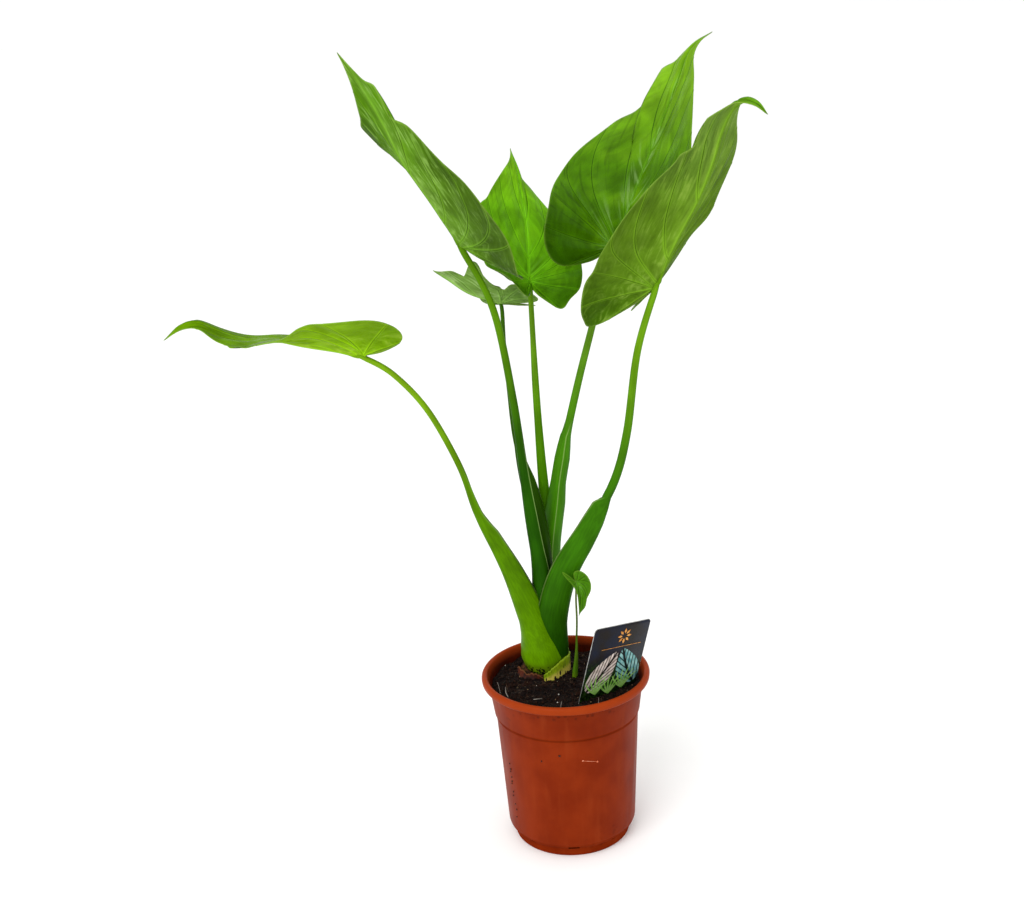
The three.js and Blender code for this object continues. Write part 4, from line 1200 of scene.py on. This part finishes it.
def pot_dirt(pot, place, height):
    """Where specks of soil cling: under the rim, and here and there below."""
    under_rim = pot.math("ABSOLUTE", pot.math("SUBTRACT", height, 165.0))
    where = pot.times(pot.spread(under_rim, 2.0, 6.0, 1.0, 0.0), pot.noise(place, 24.0))
    below = pot.spread(pot.noise(place, 12.0, detail=2.0), 0.6, 0.7, 0.0, 0.35)
    specks = pot.spread(pot.dots(place, 170.0), 0.2, 0.38, 1.0, 0.0)
    return pot.times(specks, pot.math("MAXIMUM", where, below))


def add_pot():
    profile, sides = pot_profile(), POT["sides"]
    rings = profile[1:-1]
    points = hoop((0, 0), rings[:, :1], circle(sides), rings[:, 1:]).reshape(-1, 3)
    points = np.vstack([points, [(0, 0, profile[0, 1]), (0, 0, profile[-1, 1])]])
    beyond_rim = np.arange(len(rings)) > np.argmax(rings[:, 1])
    inside = np.append(np.repeat(beyond_rim, sides), (False, True))
    # Painted shade on the inner wall, fading out towards the rim, carried in the level mark.
    dark = inside * (1 - smooth(*POT["painted_shade_inside"], points[:, 2]))
    level = np.column_stack([points[:, 2], dark, 0 * dark])
    faces = bowl_faces(len(rings), sides)
    cut_drains(add_piece("pot_shell", points, faces, [pot_finish()], "pot", {"level": level}))


def drain_tools():
    """The bodies that cut the drain holes in the floor and the slots in the heel."""
    half = DRAIN["slot_width"] / 2
    near, far = (POT["foot_radius"] + depth for depth in DRAIN["slot_cut"])
    slot = np.array([(near, -half), (far, -half), (far, half), (near, half)])
    levels = (POT["heel_step"], POT["heel_step"] + DRAIN["slot_height"])
    for angle in circle(DRAIN["count"]):
        beside = angle + math.pi / DRAIN["count"]
        centre = DRAIN["ring"] * math.cos(beside), DRAIN["ring"] * math.sin(beside)
        hole = [hoop(centre, DRAIN["radius"], circle(DRAIN["sides"]), z) for z in DRAIN["cut"]]
        yield np.vstack(hole), tube_faces(2, DRAIN["sides"])
        out, over = np.array([(math.cos(angle), math.sin(angle)), (-math.sin(angle), math.cos(angle))])
        corners = slot[:, :1] * out + slot[:, 1:] * over
        yield np.array([(*corner, z) for z in levels for corner in corners]), tube_faces(2, 4)


def cut_drains(pot):
    tool = new_object("drain_tool", new_mesh("drain_tool", *join(drain_tools())))
    cut = pot.modifiers.new("drains", "BOOLEAN")
    cut.operation = "DIFFERENCE"
    cut.solver = "MANIFOLD"
    cut.object = tool
    depsgraph = bpy.context.evaluated_depsgraph_get()
    pot.data = bpy.data.meshes.new_from_object(pot.evaluated_get(depsgraph))
    pot.modifiers.clear()
    bpy.data.objects.remove(tool)


# The soil

def off_clump(x, y):
    """How far a place is from the clump's foot, less than 0 inside it."""
    return np.hypot(x - CLUMP["centre"][0], y - CLUMP["centre"][1]) - CLUMP["radius"]


def soil_height(x, y):
    mound = np.exp(-((np.maximum(off_clump(x, y), 0) / SOIL["mound_width"]) ** 2))
    bumps = np.sin(x * 0.21 + 1.3) * np.cos(y * 0.17 - 0.4) + np.sin(x * 0.09 - y * 0.31)
    height = part_way(SOIL["edge"], SOIL["mound"], mound) + SOIL["roughness"] * bumps
    for seed, (lump, rise) in enumerate(SOIL["lumps"], 1):
        height = height + rise * noise(x / lump, y / lump, seed)
    return height


def soil_finish(name, dark, light):
    """Damp peat: near black, with brown and tan crumbs."""
    soil = Finish(name, 0.9, 0.1)
    place = soil.place()
    base = soil.tones(soil.spread(soil.noise(place, 420.0, detail=4.0), 0.42, 0.7), dark, light)
    brown = soil.spread(soil.noise(place, 90.0, detail=2.0), 0.55, 0.7, 0.0, 0.4)
    base = soil.tint(base, brown, "#301608")
    height = soil.noise(place, 900.0, detail=4.0, roughness=0.7)
    return soil.finish(base, soil.spread(height, 0.3, 0.7, 0.6, 0.95), soil.bump(height, 0.8, 0.9))


def crumb_finish(name, roughness, scale, first, second, stops=(0.0, 1.0)):
    """A dry crumb's or fibre's two colours."""
    crumb = Finish(name, roughness)
    tone = crumb.noise(crumb.place(), scale, detail=2.0)
    return crumb.finish(crumb.tones(crumb.spread(tone, *stops), first, second))


def add_soil():
    sides, rings = SOIL["sides"], SOIL["rings"]
    angle = circle(sides)
    bottom = POT["floor"] + POT["lift"] + 0.3
    levels = (
        bottom, POT["heel_step"] + 0.8, POT["heel_height"] + 3.2, POT["ridge_height"] - 4.2,
        SOIL["edge"] - 4,
    )
    points = [hoop((0, 0), pot_inside(z) - SOIL["wall_gap"], angle, z) for z in levels]
    edge = pot_inside(SOIL["edge"]) - SOIL["edge_gap"]
    for step in range(rings, 0, -1):
        flat = hoop((0, 0), edge * step / rings, angle, 0.0)
        flat[:, 2] = soil_height(flat[:, 0], flat[:, 1])
        points.append(flat)
    middle = float(soil_height(np.array(0.0), np.array(0.0)))
    faces = bowl_faces(len(points), sides)
    points = np.vstack([*points, (0, 0, bottom), (0, 0, middle)])
    add_piece("soil_bed", points, faces, [soil_finish("soil_peat", "#080303", "#1e0e08")], "soil")


def soil_spots(random, count):
    """Random places on the soil, clear of the clump."""
    radius = (pot_inside(SOIL["edge"]) - SOIL["bare_edge"]) * np.sqrt(random.uniform(0, 1, count))
    angle = random.uniform(0, 2 * math.pi, count)
    x, y = radius * np.cos(angle), radius * np.sin(angle)
    clear = off_clump(x, y) > 1
    return x[clear], y[clear]


def crumb(random, size):
    """A small uneven lump: a stretched ball of twelve corners, which are moved a little."""
    turn = circle(5)
    low, high = hoop((0, 0), 0.9, turn, -0.45), hoop((0, 0), 0.9, turn + math.pi / 5, 0.45)
    corners = [(0, 0, -1), *low, *high, (0, 0, 1)]
    stretch = random.uniform(0.6, 1.3, 3)
    corners = np.array(corners) * stretch * random.uniform(0.8, 1.2, (12, 1)) * size
    faces = []
    for k in range(5):
        after = (k + 1) % 5
        faces.extend([
            (0, 1 + after, 1 + k), (1 + k, 1 + after, 6 + k),
            (1 + after, 6 + after, 6 + k), (6 + k, 6 + after, 11),
        ])
    spin = Matrix.Rotation(random.uniform(0, 2 * math.pi), 3, "Z")
    return corners @ np.array(spin).T, faces


def add_lumps(name, random, lumps, finish):
    x, y = soil_spots(random, lumps["count"])
    bodies = []
    for px, py, pz in zip(x, y, soil_height(x, y)):
        size = random.uniform(*lumps["size"])
        corners, faces = crumb(random, size)
        bodies.append((corners + (px, py, pz + size * lumps["stand"]), faces))
    add_piece(name, *join(bodies), [finish], "soil")


def add_crumbs():
    random = np.random.default_rng(21)
    bits = crumb_finish("soil_bit", 0.8, 300.0, "#3a2810", "#70583a", (0.4, 0.6))
    grit = crumb_finish("soil_grit", 0.7, 500.0, "#a8a49a", "#e8e4da")
    add_lumps("soil_crumbs", random, CRUMBS, soil_finish("soil_crumb", "#0c0503", "#2c160c"))
    add_lumps("soil_bits", random, BITS, bits)
    add_lumps("soil_grit", random, GRIT, grit)


def thread(points, radius, sides=4):
    """A thin tube along points, thinner to its end."""
    points = np.array(points, float)
    directions = across(unit(np.gradient(points, axis=0)), np.array((0.31, 0.2, 0.93)))
    sizes = radius * part_way(1, 0.5, np.linspace(0, 1, len(points)))
    sections = round_sections(sizes[:, None], circle(sides))
    return sweep(points, directions, sections), tube_faces(len(points), sides)


def add_fibres():
    random = np.random.default_rng(5)
    t = np.linspace(-0.5, 0.5, 7)
    bodies = []
    for px, py in zip(*soil_spots(random, FIBRES["count"])):
        length = random.uniform(*FIBRES["length"])
        turn = random.uniform(0, 2 * math.pi)
        bow = random.uniform(*FIBRES["bow"])
        x = px + length * (t * math.cos(turn) - bow * t * t * math.sin(turn))
        y = py + length * (t * math.sin(turn) + bow * t * t * math.cos(turn))
        if np.hypot(x, y).max() < pot_inside(SOIL["edge"]) - 1:
            z = soil_height(x, y) + random.uniform(*FIBRES["rise"])
            bodies.append(thread(np.column_stack([x, y, z]), random.uniform(*FIBRES["radius"])))
    fibre = crumb_finish("soil_fibre", 0.8, 120.0, "#1c0e06", "#58402a", (0.45, 0.65))
    add_piece("soil_fibres", *join(bodies), [fibre], "soil")


def add_threads():
    """Pale threads of root that catch the light."""
    bodies = [thread(Route(route).points[::8], THREAD_RADIUS) for route in THREADS]
    pale = plain_finish("soil_thread", "#8c8078", "#c8c0b4", 90.0)
    add_piece("soil_threads", *join(bodies), [pale], "soil")


def on_pot(turn, height):
    """The place on the pot's side at an azimuth and a height."""
    levels, radii = (POT["heel_height"], POT["ridge_height"]), (POT["body_bottom"], POT["body_top"])
    radius = float(np.interp(height, levels, radii))
    return radius * math.cos(math.radians(turn)), radius * math.sin(math.radians(turn)), height


def add_splashes():
    """Dried drops of soil down one side of the pot, and a scratch with two bright ends."""
    random = np.random.default_rng(8)
    drop = plain_finish("pot_splash", "#1c0602", "#301008", 300.0)
    scuff = plain_finish("pot_scuff", "#c86c48", "#e8a080", 300.0)
    for name, spots, sizes, finish in (
        ("pot_splashes", SPLASHES, SPLASH_SIZES, drop),
        ("pot_scratch_ends", SCRATCH, SCRATCH_ENDS, scuff),
    ):
        bodies = []
        for spot in spots:
            corners, faces = crumb(random, random.uniform(*sizes))
            bodies.append((corners + on_pot(*spot), faces))
        add_piece(name, *join(bodies), [finish], "pot")
    line = [on_pot(*between(SCRATCH, share)) for share in np.linspace(0, 1, 13)]
    add_piece("pot_scratch", *thread(line, SCRATCH_RADIUS), [scuff], "pot")


# The clump's foot

def add_strip(name, strip, finish, node):
    """A torn strip of dead leaf base, wrapped round the foot of the clump."""
    bottom, inner = STRIP["bottom"], CLUMP["radius"] + STRIP["gap"]
    share = np.linspace(0, 1, STRIP["steps"] * strip["teeth"] + 1)
    angle = np.radians(part_way(strip["from"], strip["to"], share))
    tooth = 1 - strip["ragged"] * (0.5 + 0.5 * noise(share * strip["teeth"] * 2, 0 * share, 13))
    fray = STRIP["fray"] * noise(share * 60, 0 * share, 11)
    top = bottom + between(strip["heights"], share) * tooth + fray
    bow = strip["flare"] * np.sin(math.pi * np.clip(share * 1.15, 0, 1)) ** 0.5
    levels = np.linspace(0, 1, STRIP["levels"])
    rings = []
    for radius, order in ((inner, levels), (inner + strip["thickness"], levels[::-1])):
        for level in order:
            crease = STRIP["crease"] * noise(share * 40, level * 3 + 0 * share, 12) * level
            bulge = crease - 0.3 * math.sin(math.pi * level) + bow * (1 - level) ** 1.5
            rings.append(hoop(CLUMP["centre"], radius + bulge, angle, part_way(bottom, top, level)))
    points = np.array(rings).transpose(1, 0, 2).reshape(-1, 3)
    height = np.tile(np.concatenate([levels, levels[::-1]]), len(share))
    add_piece(name, points, tube_faces(len(share), len(rings)), [finish], node, {"reach": height})


def husk_finish():
    """Papery red-brown husk, tan and frayed along its top."""
    husk = Finish("husk_paper", 0.7, 0.2)
    fibres = husk.noise(husk.place(None, (1.0, 1.0, 0.15)), 260.0, detail=4.0)
    base = husk.tones(husk.spread(fibres, 0.35, 0.7), "#220802", "#54200c")
    base = husk.tint(base, husk.spread(husk.mark("reach"), 0.86, 1.0, 0.0, 0.55), "#805028")
    return husk.finish(base, None, husk.bump(fibres, 0.5, 0.8))


def sheath_finish():
    """An old sheath's skin: yellow-green, paler to its foot, with dark upright specks."""
    skin = Finish("old_sheath_skin", 0.55, 0.2)
    place, upright, reach = skin.place(), skin.place(None, (1.0, 1.0, 0.45)), skin.mark("reach")
    base = skin.tones(skin.noise(place, 160.0, detail=3.0), "#6c9000", "#98ac14")
    base = skin.tint(base, skin.spread(reach, 0.4, 0.7, 0.9, 0.0), "#c8b850")
    base = skin.tint(base, skin.spread(skin.dots(upright, 620.0), 0.16, 0.34, 0.5, 0.0), "#3c4a08")
    specks = skin.spread(skin.dots(upright, 290.0), 0.34, 0.44, 1.0, 0.0)
    base = skin.tint(base, skin.times(specks, skin.spread(reach, 0.45, 0.8, 1.0, 0.15)), "#1c1406")
    return skin.finish(base, None, skin.bump(skin.noise(place, 700.0, detail=2.0), 0.3, 0.6))


def corm_finish():
    """The corm's rough crown, brown with green showing through."""
    corm = Finish("corm_skin", 0.8, 0.1)
    place = corm.place(None, (1.0, 1.0, 3.0))
    rings = corm.noise(place, 180.0, detail=4.0, roughness=0.6)
    base = corm.tones(corm.spread(rings, 0.35, 0.7), "#1c0c04", "#4c3014")
    base = corm.tint(base, corm.spread(corm.noise(place, 60.0), 0.55, 0.7, 0.0, 0.6), "#4c5c10")
    return corm.finish(base, None, corm.bump(rings, 0.8, 0.9))


def add_corm():
    """The crown under the stalks, which shows in the gaps between husk and sheaths."""
    angle = circle(96)
    low, high = SOIL["edge"] - 8, CLUMP["foot"]
    rings = []
    for z, share in ((low, 1.0), (high - 8, 1.0), (high - 5, 0.97), (high - 2, 0.9), (high, 0.7)):
        radius = CLUMP["radius"] * share + 0.5 * noise(angle * 7, 0 * angle + z, 31)
        rings.append(hoop(CLUMP["centre"], radius, angle, z))
    faces = tube_faces(len(rings), len(angle))
    add_piece("corm_crown", np.vstack(rings), faces, [corm_finish()], "corm")


def add_shoot_stalk():
    """The shoot's thin stem, thick and sheathed at its base."""
    rows, angle = SHOOT["rows"], circle(SHOOT["sides"])
    route = Route(SHOOT["route"])
    share = np.linspace(0, 1, rows)
    point, direction = route.at(share * route.length)
    radius = part_way(SHOOT["base_radius"], SHOOT["top_radius"], smooth(0.1, 0.5, share))
    radius = radius * np.minimum((1 - share) / 0.01 + 0.2, 1)
    sections = round_sections(np.outer(radius, 1 - 0.12 * hump(angle, 4.2, 0.5)), angle)
    points = sweep(point, across(direction, np.array((0.0, 1.0, 0.2))), sections)
    soiled = 1 - smooth(*SHOOT["soiled"], point[:, 2])
    marks = stalk_marks(share, share * route.length, radius, soiled, angle, edge=radius, opened=0 * share)
    finish = stalk_finish("shoot_stem", SHOOT["looks"])
    add_piece("shoot_stem", points, tube_faces(rows, len(angle)), [finish], "shoot_petiole", marks)


# The label

def label_point(x, y, z):
    """From the card's own plane, with its lower left corner at 0, to the frame."""
    turn = Matrix.Rotation(math.radians(LABEL["turn"]), 3, "Z")
    tip = Matrix.Rotation(math.radians(90 + LABEL["forward"]), 3, "X")
    lean = Matrix.Rotation(-math.radians(LABEL["lean"]), 3, "Z")
    return Vector(LABEL["corner"]) + turn @ tip @ lean @ Vector((x, y, z))


def card_outline():
    """The card's outline with its tongue, once round from the tongue's end."""
    width, height, radius = LABEL["width"], LABEL["height"], LABEL["corner_radius"]
    left, right = (width - LABEL["tongue_width"]) / 2, (width + LABEL["tongue_width"]) / 2
    end, low = LABEL["tongue_end"] / 2, -LABEL["tongue_length"]
    points = [(width / 2 - end, low), (width / 2 + end, low)]
    points.extend([(right, low + LABEL["tongue_taper"]), (right, 0), (width, 0)])
    for centre, start in ((width - radius, 0), (radius, 90)):
        for step in range(9):
            angle = math.radians(start + step * 90 / 8)
            points.append((centre + radius * math.cos(angle), height - radius + radius * math.sin(angle)))
    return [*points, (0, 0), (left, 0), (left, low + LABEL["tongue_taper"])]


def card_finish():
    """Printed card: charcoal, bluer in places, dark green at the foot, satin."""
    card = Finish("label_card", 0.35, 0.08)
    place = card.place("card")
    tone, grain = card.noise(place, 0.05, detail=2.0), card.noise(place, 3.0, detail=2.0)
    base = card.tones(card.spread(tone, 0.35, 0.65), "#1e1a18", "#181c2a")
    leafy = card.spread(card.noise(place, 0.3, detail=3.0), 0.4, 0.65)
    leafy = card.tones(leafy, "#081405", "#23400f")
    base = card.mix(card.spread(card.axis("card", "Y"), 26.0, 52.0), leafy, base)
    return card.finish(base, card.spread(grain, 0.3, 0.7, 0.26, 0.36), card.bump(grain, 0.05, 0.3))


def plain_finish(name, first, second, scale, roughness=0.5):
    """A finish that wavers between two near colours."""
    finish = Finish(name, roughness, 0.2)
    tone = finish.noise(finish.place(), scale, detail=2.0)
    base = finish.tones(finish.spread(tone, 0.35, 0.65), first, second)
    return finish.finish(base, finish.spread(tone, 0.3, 0.7, roughness * 0.85, roughness * 1.15))


def print_finish(name, motif):
    """A printed leaf: its colour between darker or lighter veins."""
    ink = Finish(name, 0.35, 0.08)
    along, over = ink.axis("leaf", "X"), ink.math("ABSOLUTE", ink.axis("leaf", "Y"))
    slanted = ink.math("SUBTRACT", along, ink.times(over, motif["slant"]))
    rib = ink.math("PINGPONG", ink.times(slanted, motif["ribs"]), 0.5)
    tone = ink.noise(ink.place("leaf", (6.0, 3.0, 1.0)), 1.0, detail=3.0)
    first, second, vein = motif["ink"]
    base = ink.tones(ink.spread(tone, 0.35, 0.65), first, second)
    base = ink.tint(base, ink.spread(rib, 0.1, 0.2, 0.95, 0.0), vein)
    return ink.finish(ink.tint(base, ink.spread(over, 0.06, 0.14, 1.0, 0.0), vein))


def printed_leaf(motif, lift):
    """A leaf printed on the card, as a flat shape just off it: its points, marks and faces."""
    rows, columns = LABEL["leaf_grid"]
    along = np.linspace(0, 1, rows + 1)[:, None]
    side = np.linspace(-1, 1, columns + 1)
    half_width = motif["width"] / 2 * np.sin(math.pi * along ** 0.75) ** 0.8
    beside = motif["bow"] * np.sin(math.pi * along) + side * half_width
    turn = math.radians(motif["turn"])
    x = motif["foot"][0] + along * motif["length"] * math.cos(turn) - beside * math.sin(turn)
    y = motif["foot"][1] + along * motif["length"] * math.sin(turn) + beside * math.cos(turn)
    points = [label_point(*flat, LABEL["thickness"] / 2 + lift) for flat in zip(x.ravel(), y.ravel())]
    over = side * half_width / motif["width"] * 2
    marks = np.stack(np.broadcast_arrays(along, over, 0.0), axis=-1).reshape(-1, 3)
    grid = np.arange(len(points)).reshape(rows + 1, columns + 1)
    return points, marks, grid_faces(grid, forward=True)


def add_prints(name, motifs, lift):
    """Printed leaves that share one finish."""
    leaves = [printed_leaf(motif, lift + 0.01 * number) for number, motif in enumerate(motifs)]
    points, faces = join((points, faces) for points, _, faces in leaves)
    marks = np.vstack([marks for _, marks, _ in leaves])
    add_piece(name, points, faces, [print_finish(name, motifs[0])], "label", {"leaf": marks})


def add_ornament():
    """A gilt ring of lozenges over a thin gilt line."""
    patches = []
    x0, y0 = LABEL["ornament"]
    for turn in circle(LABEL["lozenges"]):
        cos, sin = math.cos(turn), math.sin(turn)
        patches.append([
            (x0 + reach * cos - over * sin, y0 + reach * sin + over * cos)
            for reach, over in LABEL["lozenge"][::-1]
        ])
    low, high = LABEL["line_height"], LABEL["line_height"] + LABEL["line_width"]
    ends = np.linspace(*LABEL["line"], LABEL["line_steps"] + 1)
    for left, right in zip(ends, ends[1:]):
        patches.append([(left, low), (right, low), (right, high), (left, high)])
    lift = LABEL["thickness"] / 2 + LABEL["ornament_lift"]
    bodies = [([label_point(*corner, lift) for corner in patch], [(0, 1, 2, 3)]) for patch in patches]
    gilt = plain_finish("label_gilt", "#b06c1c", "#dc9c4c", 300.0, roughness=0.4)
    add_piece("label_ornament", *join(bodies), [gilt], "label")


def add_label():
    outline = np.array(card_outline())
    middle = np.array([LABEL["width"] / 2, LABEL["height"] / 2])
    pull = np.clip((middle - outline) / 10, -1, 1) * LABEL["edge_inset"]
    rings = [
        (*point, depth * LABEL["thickness"])
        for depth, inset in ((-0.5, 1), (-0.3, 0), (0.3, 0), (0.5, 1))
        for point in outline + pull * inset
    ]
    points = [label_point(*place) for place in rings]
    faces = tube_faces(4, len(outline))
    sides = [1] * (len(faces) - 2) + [0, 0]
    edge = plain_finish("label_edge", "#8c8c88", "#b4b4b0", 200.0)
    add_piece("label_card", points, faces, [card_finish(), edge], "label", {"card": rings}, sides)
    for number, motif in enumerate(LABEL["motifs"], 1):
        add_prints("label_leaf_%d" % number, [motif], LABEL["print_lift"] * number)
    blades = [
        {**LABEL["blade"], "foot": foot, "turn": turn}
        for foot in LABEL["tufts"]
        for turn in LABEL["turns"]
    ]
    add_prints("label_grass", blades, LABEL["print_lift"] * 3)
    add_ornament()


# The stage

def make_camera():
    yaw, pitch, roll = (math.radians(CAMERA[key]) for key in ("yaw", "pitch", "roll"))
    forward = Vector((math.sin(yaw) * math.cos(pitch), math.cos(yaw) * math.cos(pitch), -math.sin(pitch)))
    level = Vector((math.cos(yaw), -math.sin(yaw), 0))
    upright = level.cross(forward)
    right = math.cos(roll) * level + math.sin(roll) * upright
    up = -math.sin(roll) * level + math.cos(roll) * upright
    data = bpy.data.cameras.new("camera")
    data.lens = LENS
    data.sensor_width = SENSOR
    data.clip_end = 200
    camera = new_object("camera", data)
    turn = Matrix((right, up, -forward)).transposed()
    camera.matrix_world = Matrix.LocRotScale(Vector(CAMERA["place"]) * MM, turn, None)
    bpy.context.scene.camera = camera


def make_light():
    data = bpy.data.lights.new("key", "AREA")
    data.size = LIGHT["size"]
    data.energy = LIGHT["watts"]
    light = new_object("key", data)
    light.location = LIGHT["place"]
    light.rotation_mode = "QUATERNION"
    light.rotation_quaternion = (Vector(LIGHT["aim"]) - Vector(LIGHT["place"])).to_track_quat("-Z", "Y")


def make_stage():
    half = FLOOR_HALF / MM
    corners = [(-half, -half, 0), (half, -half, 0), (half, half, 0), (-half, half, 0)]
    mesh = new_mesh("floor", corners, [(0, 1, 2, 3)])
    paper = Finish("floor_paper", 0.9)
    grain = paper.noise(paper.place(), 30.0, detail=2.0)
    mesh.materials.append(paper.finish(paper.tones(grain, "#fafaf9", "#fdfdfc")))
    floor = new_object("floor", mesh)
    world = bpy.data.worlds.new("studio")
    world.use_nodes = True
    background = world.node_tree.nodes["Background"]
    background.inputs["Color"].default_value = (1, 1, 1, 1)
    background.inputs["Strength"].default_value = WORLD_STRENGTH
    bpy.context.scene.world = world
    bpy.context.scene.view_settings.view_transform = "Standard"


make_camera()
make_stage()
make_light()
add_pot()
add_splashes()
add_soil()
add_crumbs()
add_fibres()
add_threads()
add_strip("husk_strip", HUSK, husk_finish(), "husk")
add_strip("old_sheath_strip", OLD_SHEATH, sheath_finish(), "old_sheath")
add_corm()
for leaf in LEAVES:
    blade = Blade(leaf["blade"])
    add_stalk("petiole_" + leaf["name"], leaf["stalk"], leaf["looks"], blade)
    add_blade("blade_" + leaf["name"], blade, leaf["looks"])
add_shoot_stalk()
shoot = SHOOT["blade"]
add_blade("shoot_blade", Blade(shoot), SHOOT["looks"], shoot["rows"], shoot["columns"])
add_label()
